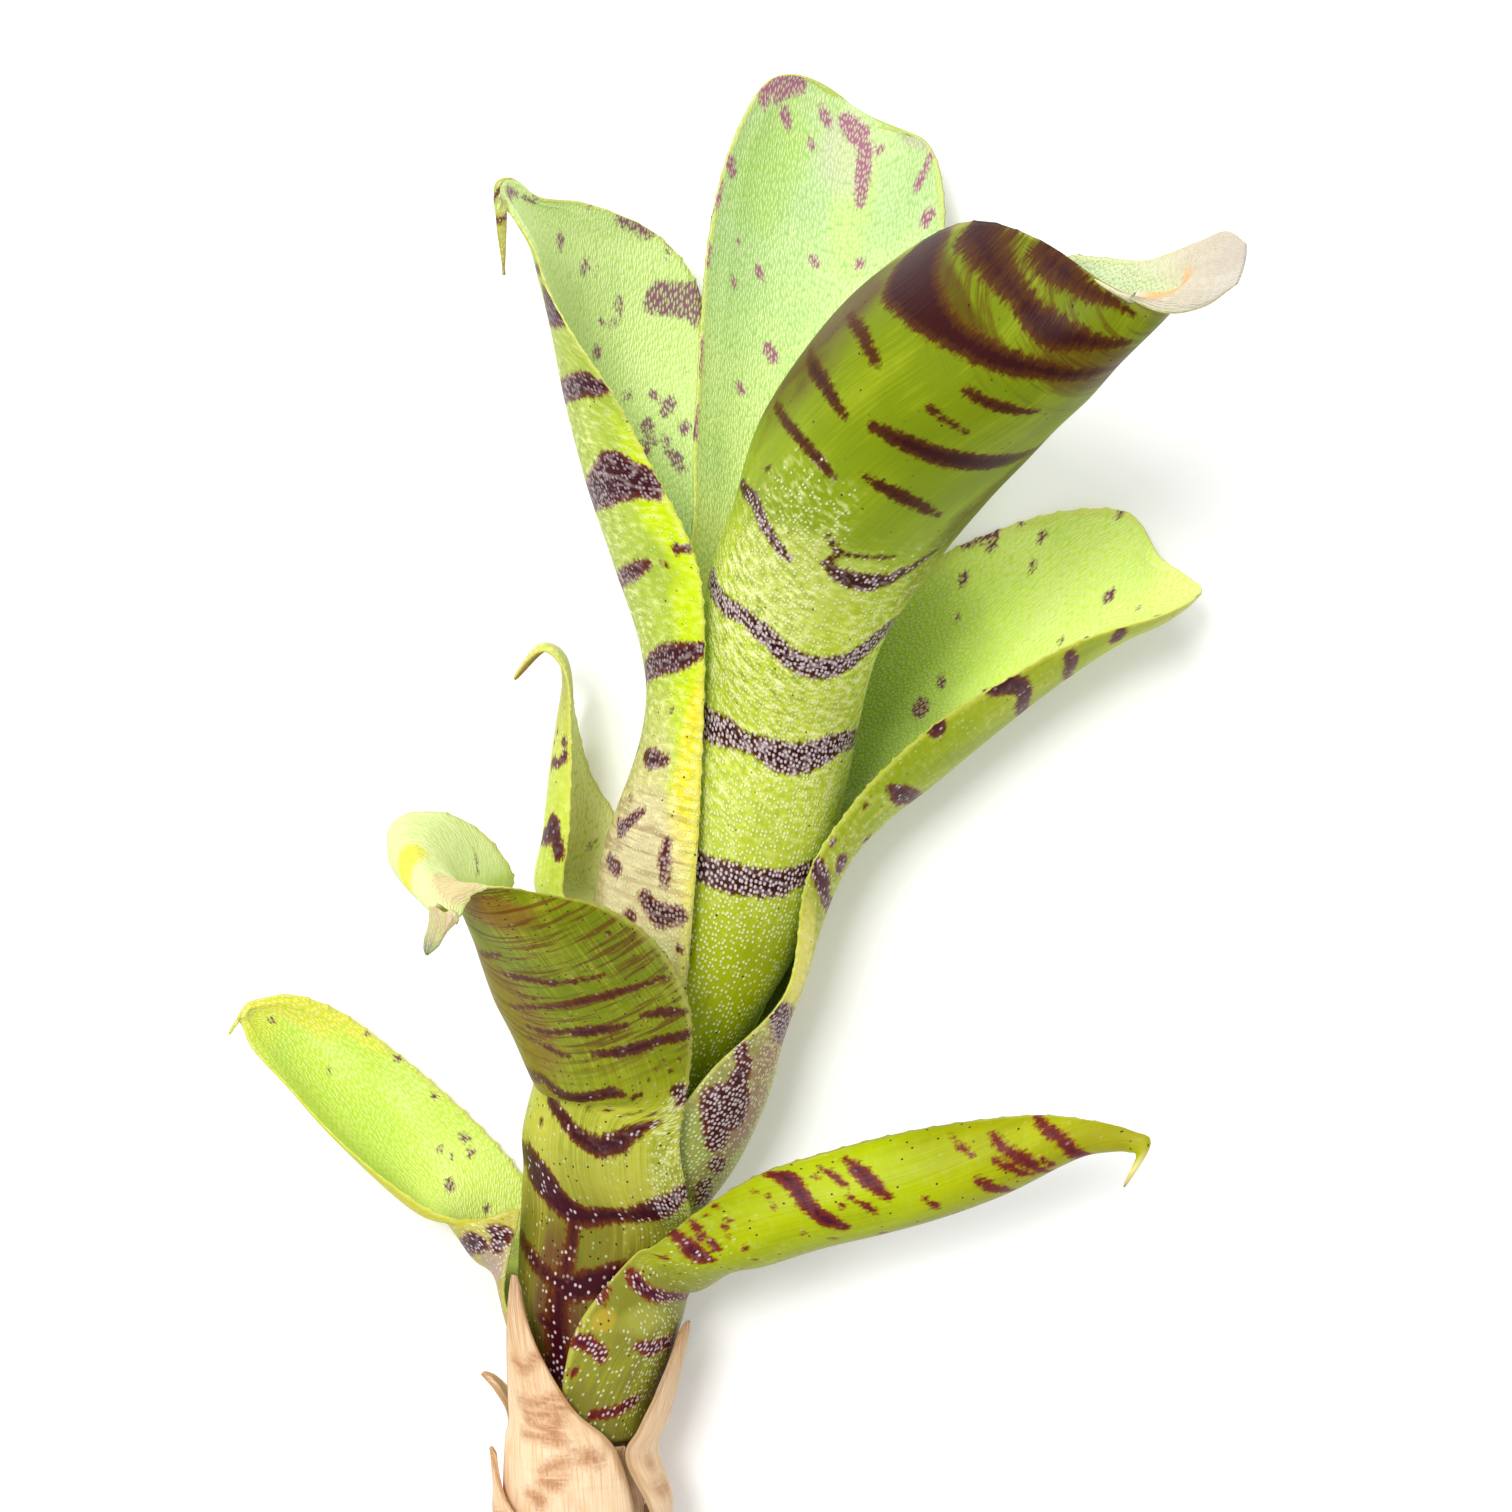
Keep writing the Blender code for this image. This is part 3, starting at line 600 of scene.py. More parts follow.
# Front leaf
# The leaf nearest the camera: a sheath closed round the foot, and a blade that folds over at the left
# into a rolled, dried spine.
front = grow_sheet("front_leaf", sheath=[
    (20.5, 5.5, 130, 350), (25, 6.2, 130, 350), (30, 7.8, 132, 348), (38, 9, 135, 344),
    (41, 9.9, 138, 321, 0.35, 330), (44, 10.7, 140, 309), (49, 11.2, 148, 293),
], blade=[
    ((-21.8, -31.7, 1.5), (-17.4, -34.6, 12.5), (-6.8, -33, 11.2), 0.8),
    ((-24.1, -26.8, 5.5), (-18.8, -30, 17.5), (-6.4, -28.5, 13.8), 0.7),
    ((-26, -22.9, 9.5), (-21, -26, 21.5), (-6.8, -24.4, 17), 0.7),
    ((-26.6, -18.8, 13), (-24, -22, 25), (-8.6, -20.4, 21), 0.6),
    ((-25.6, -15.2, 16), (-26.6, -18.6, 28.5), (-11.8, -17, 25.5), 0.5),
    ((-24.4, -12.6, 18.5), (-28.4, -16, 31), (-15.8, -14.9, 29), 0.4),
    ((-24.8, -11, 21.5), (-29.4, -14.2, 32.5), (-21.6, -13.7, 31.5), 0.3),
    ((-27.4, -7.8, 24), (-30.6, -12.8, 33.4), (-25.6, -13.2, 33.8), 0.3),
    ((-31.4, -5.8, 27), (-32.4, -11.8, 34.2), (-28.3, -13.9, 35), 0.3),
    ((-35.8, -6.4, 29.5), (-33.6, -11.6, 35), (-29.4, -15.6, 36), 0.3),
    ((-36.6, -9.5, 31.5), (-33.6, -13.4, 35.8), (-30, -16.8, 36.8), 0.3),
    ((-34.1, -13.2, 34.5), (-31.8, -15.4, 36.6), (-29.8, -16.6, 37.2), 0.3),
    ((-32.4, -15.9, 37), (-31.9, -16.8, 37.6), (-30.9, -17.7, 37.8), 0.3),
    ((-33.6, -19.8, 38.6), (-32.9, -20, 38.8), (-32.1, -19.8, 38.8), 0.3),
], columns=60, step=0.42, point=1.2, outer_marks=[
    [(50, 30, 16), (52, 100, 12), (54, 160, 8), (55, 210, 9)], [(46, 40, 8), (49, 130, 4)],
    [(0, 170, 10), (26, 165, 9), (34, 158, 9), (42, 145, 10), (50, 135, 10), (56, 130, 16), (63, 140, 18),
     (70, 157, 12), (100, 170, 10)],
    [(0, 270, 12), (34, 265, 12), (40, 255, 23), (45, 245, 24), (50, 225, 20), (55, 210, 16),
     (60, 212, 12), (68, 222, 11), (76, 230, 11), (84, 245, 15), (92, 265, 12), (100, 290, 9)],
    [(45, 90, 9), (52, 80, 13)], [(0, 360, 11), (30, 350, 8)],
    [(48, 333, 7), (56, 322, 9), (62, 312, 10), (70, 308, 12), (77, 320, 12), (83, 340, 10),
     (88, 358, 7)],
    (45.5, 308, 5), (75, 425, 6), (80, 370, 4), (90, 360, 4), (88, 380, 3), (66, 345, 3), (72, 360, 3),
    [(95, 420, 9), (98, 400, 6)],
    [(5, 460, 10), (33, 455, 8), (38, 440, 9), (42, 432, 10), (50, 430, 12), (57, 436, 10), (63, 439, 10),
     (69, 432, 5)],
    (80, 450, 2.5), (84, 465, 3), (90, 455, 3), (94, 470, 2.5), (87, 475, 2),
    [(36, 515, 3), (43, 503, 5), (50, 492, 4)],
    [(62, 498, 6), (70, 498, 9), (78, 502, 10), (86, 508, 8), (97, 505, 8)],
    [(38, 535, 3), (46, 530, 5), (54, 533, 5), (60, 534, 9), (68, 537, 8), (75, 540, 5)],
    [(82, 552, 4), (88, 552, 8), (97, 543, 6)],
    [(35, 565, 3), (45, 571, 4), (55, 575, 4), (66, 585, 6), (76, 591, 6), (86, 597, 5), (95, 602, 3)],
    [(40, 600, 3), (50, 585, 3)], [(45, 623, 5), (52, 622, 6), (60, 615, 5), (70, 617, 4), (78, 622, 3)],
    [(33, 650, 5), (42, 655, 5), (50, 663, 3)], (66, 680, 3), (90, 685, 4), (82, 770, 3), (95, 765, 3),
], inner_marks=[(13, 800, 4), (15, 790, 3.5), [(30, 600, 8), (70, 610, 7)], (20, 680, 5)])
dress(front, "leaf_front", leaf_skin(
    "front_skin",
    outer=[(0, 13, 9, 1.5), (20, 24, 20, 2), (30, 50, 50, 6), (38, 52, 54, 3), (46, 30, 34, 0),
        (62, 19, 24, 0), (80, 20, 23, 0), (92, 40, 36, 8), (96, 50, 36, 22), (100, 8, 9, 10)],
    inner=[(0, 50, 60, 15), (60, 70, 88, 16), (80, 84, 96, 40), (91.5, 84, 90, 40),
        (94.5, 62, 42, 28), (98, 50, 36, 24), (100, 8, 9, 10)],
    outer_patches=[(22, 55, 30, 16, (24, 16, 0), 90), (65, 75.5, 20, 5, (26, 11, 1.5), 70),
        (52, 10, 12, 12, (14, 5, 2), 85)],
    inner_patches=[(37, 89.5, 12, 4, (85, 78, 3), 90), (78, 85, 25, 5, (78, 55, 30), 80)],
    frost=[(0, 20), (20, 12), (38, 10), (45, 5), (100, 1)],
    frosted=[(97, 26, 12, 20, 100), (10, 30, 10, 20, 60), (72, 2, 20, 5, 70)], rows_share=0.4, specks=0.2,
    band=(4.5, 0.3, 0.8), band_rim=(14, 3.5, 0.4), haze=(44, 92, 75), fibre_share=1.3, light=(56, 58, 5),
))

# Back left leaf
# A short, narrow leaf behind the front one, nearly closed, with a hooked tip and a dark straw edge. Its
# long sheath wraps the back and the left of the leaves inside it.
back_left = grow_sheet("back_left_leaf", sheath=[
    (25.5, 5.2, 88, 225), (30, 6.4, 88, 222), (42, 8.3, 92, 215), (56, 10.5, 95, 208),
    (66, 12.1, 98, 200),
], blade=[
    ((-10.6, -12.4, -12.6), (-21.8, -14, -4), (-19.4, -13.9, 1)),
    ((-13.1, -7.4, -12.9), (-21.3, -7.4, -4.5), (-18.8, -7.4, 0.5)),
    ((-16.6, -1.6, -13.3), (-20.6, -0.9, -5), (-18.6, -0.9, 0)),
    ((-18, 3.1, -12), (-20, 3.4, -5), (-18.7, 3.6, -0.5)),
    ((-18.6, 6.6, -9), (-19.4, 7.6, -4.5), (-19, 7.6, -1)),
    ((-19.4, 9.6, -7), (-20, 10.1, -4.5), (-20.3, 9.9, -1.5)),
    ((-21.1, 10.4, -5), (-21.6, 10.5, -3.5), (-21.8, 10.2, -2)),
    ((-23.8, 7.4, -3.6), (-24.1, 7.6, -3.2), (-24.4, 7.8, -2.8)),
], columns=44, step=0.42, teeth=0.2, point=3.5, outer_marks=[
    [(52, 673, 6), (60, 678, 9), (70, 680, 12), (78, 688, 15), (86, 675, 10), (92, 660, 10)],
    [(65, 773, 7), (80, 772, 5), (90, 780, 8)], (60, 800, 3), (90, 800, 6), (70, 815, 4),
    [(10, 300, 10), (90, 310, 11)], [(10, 430, 11), (90, 420, 10)], [(10, 550, 9), (90, 560, 12)],
], inner_marks=[(16, 665, 4), (50, 700, 6)])
dress(back_left, "leaf_back_left", leaf_skin(
    "back_left_skin",
    outer=[(0, 40, 38, 10), (50, 46, 52, 5), (66, 58, 70, 6), (80, 54, 60, 6), (90, 38, 34, 2),
        (96.5, 50, 34, 12), (100, 55, 25, 12)],
    # The inside is raised to near white: its own pale green, brightened with painted light against the
    # shade that the leaves round it cast.
    inner=[(0, 80, 90, 26), (60, 100, 100, 45), (85, 95, 100, 36), (92, 66, 64, 10), (100, 80, 60, 20)],
    frost=[(0, 50), (60, 15), (100, 5)],
))

# Right leaf
# The wide leaf at mid height: a sheath round the inner leaves, then a broad trough out to the right
# with its dark banded outside below and its bright inside above.
right = grow_sheet("right_leaf", sheath=[
    (29, 4.9, 262, 438), (34, 6.2, 262, 438, 0.5, 0), (38, 6.9, 262, 438, 0.6, 0),
    (42, 7.5, 264, 438, 1.8, 0), (49, 8.5, 272, 438, 2.4, 0), (56, 9.2, 288, 440, 2.1, 0),
    (65, 10.3, 328, 450, 1.1, 0),
], blade=[
    ((5.2, -12.4, 7.3), (8.5, -11.6, -3), (-0.4, -6.4, -12.5)),
    ((9.4, -5.4, 6), (12.9, -6.6, -3.5), (5.4, 3, -13.2)),
    ((13.9, -0.4, 6), (17.9, -2.7, -4), (10.4, 10.6, -13.8)),
    ((19.4, 4.1, 6), (23.4, 1.8, -4.5), (16.9, 18.8, -14.6)),
    ((24.9, 7.4, 5.5), (28.8, 6.2, -5), (24.4, 22.6, -14.8)),
    ((30.4, 10.5, 5), (33.7, 9.8, -5), (30.9, 24.5, -13.5)),
    ((35.4, 12.4, 4), (37.7, 12.3, -4.5), (37.3, 24.3, -11.5)),
    ((39.9, 13.7, 3), (40.9, 13.9, -4), (40.4, 20, -9)),
    ((42.9, 15, 1), (43.2, 15.3, -3.5), (42.6, 18.4, -7)),
    ((44.4, 16, -2.5), (44.6, 16.5, -3.5), (44.4, 17.1, -4.5)),
], columns=60, step=0.42, outer_marks=[
    [(0, 775, 17), (8, 788, 10), (15, 785, 10), (22, 775, 11), (30, 765, 9), (45, 755, 7), (60, 750, 6),
     (80, 760, 6), (100, 770, 5)],
    [(5, 845, 6), (10, 842, 8), (16, 838, 9), (22, 830, 8), (30, 820, 5), (50, 820, 4)],
    [(5, 900, 9), (12, 895, 9)], [(0, 690, 12), (3, 688, 9)],
    [(10, 605, 5), (18, 607, 12), (26, 607, 14), (35, 608, 10), (50, 610, 9), (70, 615, 9),
     (100, 610, 7)],
    (6, 573, 4), (3, 520, 5), (30, 536, 7), [(18, 500, 10), (22, 495, 10)],
    [(0, 492, 9), (6, 485, 12), (12, 475, 13), (18, 458, 10), (24, 450, 8), (40, 440, 12), (70, 440, 12),
     (100, 450, 10)],
    [(0, 335, 10), (6, 332, 14), (13, 326, 18), (20, 318, 18), (27, 312, 12), (45, 310, 14),
     (80, 310, 12)],
    [(2, 290, 8), (12, 270, 10), (15, 245, 16), (20, 235, 18), (25, 220, 12)],
    [(10, 235, 18), (18, 210, 16), (22, 195, 13)], [(28, 175, 9), (33, 170, 8)],
    [(30, 150, 10), (36, 135, 11), (42, 130, 7)],
], inner_marks=[
    (72, 860, 8), (62, 900, 4), (60, 830, 5), (50, 860, 4), (55, 790, 7), (66, 800, 5), (45, 930, 5),
    (78, 645, 12), (79, 672, 7), (89, 790, 5), (95, 810, 5.5), (97, 765, 6), (93, 730, 7), (87, 710, 4),
    (99, 885, 4), (68, 710, 3.5), (5, 940, 9), [(100, 745, 4.5), (100, 775, 5.5)], (100, 800, 4),
])
dress(right, "leaf_right", leaf_skin(
    "right_skin",
    outer=[(0, 40, 34, 10), (20, 34, 30, 10), (30, 40, 34, 13), (36, 62, 58, 4), (45, 40, 44, 0),
        (60, 33, 42, 0), (90, 42, 50, 0), (100, 50, 50, 10)],
    inner=[(0, 40, 50, 6), (55, 26, 40, 1), (63, 36, 56, 2), (70, 74, 96, 10), (80, 80, 100, 18),
        (100, 84, 100, 22)],
    outer_patches=[(5, 40, 13, 7, (88, 78, 14), 95), (22, 29, 14, 5, (34, 17, 14), 80),
        (30, 22, 12, 5, (36, 20, 17), 80), (12, 20, 12, 6, (34, 48, 8), 45)],
    inner_patches=[(3, 80, 10, 20, (90, 86, 8), 70), (85, 66, 25, 8, (30, 42, 3), 50)],
    frost=[(0, 80), (30, 75), (36, 40), (50, 30), (62, 12), (100, 4)], band=(6, 1, 1.4), gap=(56, 80, 14),
    light=(70, 76, 14),
))

# Left leaf
# The long leaf at the upper left, folded so that its lit inside and its banded outside both show,
# ending in a hooked spine.
left = grow_sheet("left_leaf", sheath=[
    (34, 4.4, 95, 280), (42, 6.2, 95, 280), (56, 9, 95, 278), (72, 11.6, 92, 262), (86, 10.7, 92, 246),
], blade=[
    ((-1.6, 11.6, -10.8), (-11.5, 10.6, 1.5), (-5.3, 14.6, 11)),
    ((-3.1, 20.6, -11.2), (-14.4, 19.6, 0.5), (-6.6, 21.1, 10.2)),
    ((-3.8, 28.6, -11.5), (-16.8, 26.9, 1), (-10.1, 28.1, 9.5)),
    ((-4.4, 36.6, -12), (-19, 35.4, 1.5), (-14.1, 35.6, 9)),
    ((-5.1, 42.6, -12), (-20.4, 41.9, 2), (-18.1, 41.5, 8.5)),
    ((-6.1, 47.6, -11.5), (-21.5, 46.9, 2.5), (-20.9, 46.4, 8)),
    ((-10.1, 52.3, -9.5), (-22.4, 50.8, 3), (-22.2, 50.3, 8)),
    ((-16.6, 55.2, -4.5), (-23.7, 53.4, 4), (-23.7, 52.9, 8)),
    ((-21.6, 55.9, 1), (-24.9, 55.7, 5), (-25, 54.6, 8)),
    ((-24.6, 57.8, 4.5), (-25.9, 57.5, 6.5), (-25.9, 55.2, 9)),
    ((-24.9, 54, 9), (-25.6, 54, 10), (-26, 53.6, 10.2)),
    ((-24.9, 48.2, 10.2), (-25.2, 48.1, 10.4), (-25.5, 48.2, 10.2)),
], columns=52, step=0.45, point=4.5, outer_marks=[
    [(0, 775, 12), (30, 775, 10), (60, 765, 9), (75, 768, 13), (85, 772, 16), (95, 778, 18),
     (100, 785, 15)],
    [(0, 700, 12), (30, 705, 10), (50, 706, 12), (65, 708, 13), (78, 711, 14), (90, 712, 16),
     (98, 710, 9)],
    [(0, 620, 13), (30, 620, 12), (50, 625, 16), (62, 627, 20), (73, 632, 24), (83, 637, 29),
     (92, 630, 22), (95, 620, 12)],
    [(10, 550, 9), (40, 553, 7), (55, 554, 9), (68, 556, 10), (80, 560, 6)], (88, 556, 4),
    [(95, 568, 7), (100, 567, 4)],
    [(0, 470, 10), (40, 470, 9), (55, 473, 11), (68, 477, 15), (80, 477, 17), (90, 474, 15),
     (98, 475, 9)],
    [(10, 390, 12), (60, 400, 9)], [(74, 397, 8), (78, 395, 13), (85, 396, 7)],
    [(66, 340, 5), (70, 333, 9), (75, 345, 8), (79, 352, 5)], (70, 360, 5),
    [(90, 335, 6), (90.5, 320, 7), (91, 305, 5)], [(66, 310, 8), (72, 305, 9)],
    [(85, 290, 9), (90, 280, 14), (96, 285, 10)], (80, 272, 9), (97, 260, 5), (85.5, 435, 3),
    [(80, 810, 4), (100, 812, 5)], [(10, 860, 10), (70, 860, 8)], [(10, 900, 5), (90, 905, 6)],
    [(10, 930, 5), (90, 930, 5)], [(0, 955, 4), (100, 955, 4)],
], inner_marks=[
    [(0, 772, 14), (11, 776, 12)], (33, 830, 8), (28, 803, 7), (24, 800, 3), [(20, 775, 5), (19, 765, 3)],
    (27, 733, 8), (22, 755, 4), (5, 715, 4), (20, 697, 6), (10, 688, 9), (16, 672, 9), (7, 668, 8),
    (18, 655, 10), (12, 660, 6), (21, 670, 5), (10, 645, 8), (4, 635, 7), [(40, 900, 5), (70, 900, 5)],
    [(30, 930, 5), (90, 930, 5)], [(10, 960, 4), (90, 960, 4)], (2, 900, 6), (3, 810, 4), (2, 865, 4),
    [(0, 850, 7), (0, 832, 6)], (0, 818, 5), (25, 758, 4.5), (20.5, 758, 5.5), (2, 756, 5),
    [(20, 890, 6), (30, 895, 4)], (13.5, 697, 6), (11.5, 681, 5.5), (15, 662, 4.5), (11.5, 650, 6),
    (9, 637, 5),
])
dress(left, "leaf_left", leaf_skin(
    "left_skin",
    outer=[(0, 36, 36, 6), (26, 42, 32, 15), (34, 66, 54, 26), (40, 60, 58, 20), (46, 44, 56, 4),
        (60, 44, 56, 7), (85, 42, 54, 5), (95, 50, 50, 10), (98.5, 40, 36, 6), (100, 30, 15, 6)],
    inner=[(0, 55, 62, 16), (50, 78, 100, 36), (75, 80, 100, 36), (93, 78, 100, 36), (97, 50, 50, 8),
        (100, 30, 18, 6)],
    # The lime patch at 97 across, 52 along is the leaf's own lime colour with a painted glow of light
    # shining through it.
    outer_patches=[(97, 52, 16, 20, (58, 74, 0), 95), (99, 38, 10, 10, (85, 70, 3), 90),
        (80, 30, 20, 8, (66, 55, 34), 70)],
    frost=[(0, 60), (35, 55), (50, 35), (100, 25)], frosted=[(45, 60, 30, 30, 30)], haze=(26, 40, 50),
    deep=(20, 30, 1), spot=(30, 13, 20), bead_share=0.5, gap=(50, 74, 20),
))

# Top leaf
# The tall leaf at the back, its pale inside towards the camera, with a rounded, pointed end. Its sheath
# closes the back of the tube, round the innermost leaf.
top = grow_sheet("top_leaf", sheath=[
    (39, 3.9, 18, 165), (56, 7.6, 18, 165), (72, 10.2, 18, 165), (86, 9.5, 14, 168),
], blade=[
    ((12.4, 19.6, -1), (3.9, 19.6, -10.2), (-6.6, 21.1, -3)),
    ((14.9, 31.6, -2.5), (4.4, 30.6, -11.4), (-6.3, 30.6, -4)),
    ((16.9, 42.6, -4.5), (5.6, 42.6, -12.8), (-5.6, 42.6, -5.5)),
    ((18.8, 51.6, -7), (6.6, 51.6, -14.2), (-4.8, 51.6, -7)),
    ((18.5, 58.1, -9), (7.6, 59.1, -15.2), (-3.2, 59.1, -9)),
    ((16.9, 61.6, -11.5), (8.4, 63.8, -16), (-0.8, 64.9, -11)),
    ((13.8, 62.6, -13.5), (8.8, 65.3, -16.4), (1.6, 67.8, -13)),
    ((11.1, 63.1, -15), (9, 65.6, -16.3), (4.9, 68, -14.8)),
    ((9.6, 64.4, -15.8), (9, 65.2, -16), (8.2, 65.8, -15.8)),
], columns=52, step=0.45, outer_marks=[
    [(0, 200, 12), (40, 210, 14), (100, 200, 12)], [(0, 330, 13), (60, 320, 15), (100, 340, 10)],
    [(0, 450, 10), (30, 460, 15), (100, 440, 13)], [(0, 570, 14), (50, 560, 12), (100, 570, 14)],
    [(10, 660, 12), (70, 670, 14), (100, 660, 9)], [(0, 750, 13), (50, 740, 10), (90, 750, 12)],
    [(10, 840, 10), (60, 830, 12), (100, 840, 8)], [(20, 910, 8), (80, 915, 9)],
], inner_marks=[
    [(46, 925, 11), (40, 912, 12)], [(37, 900, 8), (37, 875, 9), (37, 850, 6)], (30, 900, 6),
    (57, 927, 9), (60, 900, 6), (8, 840, 10), [(12, 870, 7), (4, 900, 6)], (35, 797, 7), (52, 800, 7),
    (73, 790, 7), (85, 782, 6), (65, 722, 10), (77, 695, 7), (76, 923, 9), [(86, 968, 10), (93, 950, 11)],
    (100, 965, 13), (98, 945, 12), (97, 885, 10), [(100, 815, 5), (100, 800, 5)], (85, 820, 4),
    [(100, 870, 4.5), (100, 850, 4.5)], [(100, 735, 4.5), (100, 705, 4)],
    [(100, 682, 3.5), (100, 655, 3.5)],
])
dress(top, "leaf_top", leaf_skin(
    "top_skin",
    outer=[(0, 40, 42, 10), (50, 36, 44, 5), (100, 46, 56, 10)],
    # The inside is painted brighter at the stop at 50: painted light against the shade that the upper right
    # leaf casts there.
    inner=[(0, 60, 70, 14), (50, 95, 100, 26), (70, 66, 88, 28), (85, 54, 76, 32), (100, 54, 72, 24)],
    inner_patches=[(78, 88, 20, 7, (46, 74, 10), 60), (40, 86, 10, 8, (60, 84, 16), 50),
        (8, 93, 14, 3, (45, 36, 34), 60), (45, 90, 14, 5, (66, 60, 50), 50)],
    frost=[(0, 50), (40, 25), (100, 15)], spot=(40, 14, 24), light=(70, 86, 40), gap=(34, 58, 16),
    deep=(28, 50, 8),
))

# Upper right leaf
# The large innermost leaf, leaning towards the camera: a tube below, a broad banded outside above, and
# a blunt tip that dries to straw.
upper_right = grow_sheet("upper_right_leaf", sheath=[
    (43, 3.6, 200, 370), (56, 6.5, 200, 370), (72, 9.2, 202, 370, 1.2, 340),
    (86, 9.3, 204, 375, 1.2, 340),
], blade=[
    ((-4.2, 19.6, 4.8), (6, 7.6, 13.2), (12.2, 15, 2), 0.75),
    ((-1.1, 26.6, 8.5), (10.6, 16.4, 19), (16.2, 22.6, 6)),
    ((1.9, 35.6, 14), (17.4, 23.6, 25), (22.8, 30.2, 12)),
    ((9.4, 45.6, 20), (24.8, 29.8, 30), (28.4, 37, 18), 0.9),
    ((15.9, 51.1, 25), (31.7, 34.9, 34), (31, 44, 23), 0.6),
    ((21.9, 53.5, 31), (36.4, 39.4, 38), (31.2, 49.6, 28.5), 0.4),
    ((28.4, 51.6, 37), (40, 43, 41.5), (34, 49.9, 33), 0.3),
    ((34.9, 47.3, 42), (42.2, 45.4, 44.3), (39.4, 49.6, 38.5), 0.3),
    ((40.2, 44.4, 45), (44.4, 47.6, 45), (44.6, 51.4, 42), 0.3),
    ((44.6, 44.8, 46.5), (47, 48.4, 46.2), (47.2, 52.4, 44.5), 0.3),
    ((48.2, 47.2, 47.2), (48.9, 49.2, 47), (49.1, 51.1, 46.2), 0.3),
], columns=60, step=0.42, outer_marks=[
    [(0, 240, 10), (29, 251, 13), (45, 249, 16), (60, 254, 15), (70, 266, 12), (100, 275, 10)],
    [(0, 365, 10), (18, 362, 14), (27, 362, 13), (35, 357, 9), (42, 352, 15), (50, 350, 18),
     (58, 358, 17), (65, 370, 16), (72, 377, 13), (82, 378, 10), (100, 380, 9)],
    [(5, 462, 9), (12, 468, 12), (20, 472, 10), (28, 482, 9), (35, 480, 12), (42, 472, 12), (50, 470, 14),
     (58, 474, 12), (65, 486, 13), (70, 492, 16), (75, 490, 15), (100, 490, 11)],
    [(12, 565, 6), (20, 572, 10), (27, 556, 8), (33, 545, 5)], [(19, 600, 4), (20, 605, 3)],
    [(37, 580, 3.5), (41, 565, 5), (40, 553, 5), (45, 545, 11), (50, 543, 13), (55, 547, 9), (60, 560, 6),
     (64, 575, 3)],
    [(42, 568, 3), (50, 572, 3)], [(11, 638, 5), (20, 642, 6), (26, 640, 7), (31, 633, 5)],
    [(35, 645, 5), (41, 640, 9), (46, 632, 8), (51, 622, 4)],
    [(9, 677, 4), (15, 679, 9), (20, 682, 8), (26, 678, 5)],
    [(30, 685, 6), (36, 688, 11), (44, 690, 14), (52, 695, 13), (60, 700, 9), (70, 704, 5),
     (100, 710, 8)],
    [(11, 717, 4), (17, 724, 7), (23, 722, 5)], [(33, 723, 5), (40, 718, 3)],
    [(33, 750, 6), (38, 751, 8), (43, 757, 5)],
    [(3, 775, 22), (10, 768, 26), (17, 770, 18), (24, 775, 12), (31, 785, 12), (37, 797, 10),
     (45, 810, 7), (52, 815, 4)],
    [(0, 822, 10), (10, 823, 9), (20, 826, 8), (30, 823, 14), (36, 832, 9), (44, 842, 5)],
    [(5, 857, 5), (13, 861, 8), (20, 863, 7), (27, 872, 5), (35, 875, 3)],
], inner_marks=[(30, 700, 12), (60, 780, 10), (40, 550, 14), (70, 630, 9)])
dress(upper_right, "leaf_upper_right", leaf_skin(
    "upper_right_skin",
    outer=[(0, 32, 38, 0), (20, 36, 42, 0), (30, 54, 64, 5), (42, 62, 72, 7), (50, 56, 68, 4),
        (58, 28, 38, 1), (68, 20, 27, 0), (87, 16, 20, 0), (90.5, 30, 26, 6), (93, 62, 54, 42),
        (100, 62, 58, 46)],
    inner=[(0, 50, 58, 14), (60, 50, 62, 14), (82, 70, 80, 60), (88, 84, 96, 56), (94, 64, 56, 40),
        (100, 56, 50, 42)],
    # The dark patches at 76 across, 64 along and at 85 across, 80 along are painted shade on the blade's
    # right side.
    outer_patches=[(6, 68, 14, 9, (10, 5, 1), 90), (76, 64, 18, 16, (7, 4.5, 0.1), 90),
        (36, 53, 16, 6, (62, 70, 14), 70), (46, 81, 16, 3, (12, 7, 0.3), 85),
        (12, 79, 20, 1.2, (8, 3.5, 0), 80), (85, 80, 30, 6, (7, 6, 0), 90)],
    inner_patches=[(45, 93.5, 35, 1.4, (86, 46, 16), 90)],
    frost=[(0, 85), (25, 80), (45, 75), (53, 35), (60, 2), (64, 0)],
    frosted=[(30, 55, 12, 10, 40), (20, 45, 20, 8, 30)], rows_share=0.15, inner_light=(80, 78, 66),
    gap=(50, 44, 40), band=(3.5, 0.3, 0.3), band_rim=(10, 3.5, 0), haze=(74.5, 90, 75), light=(44, 54, 2),
    margin_share=0.3,
))

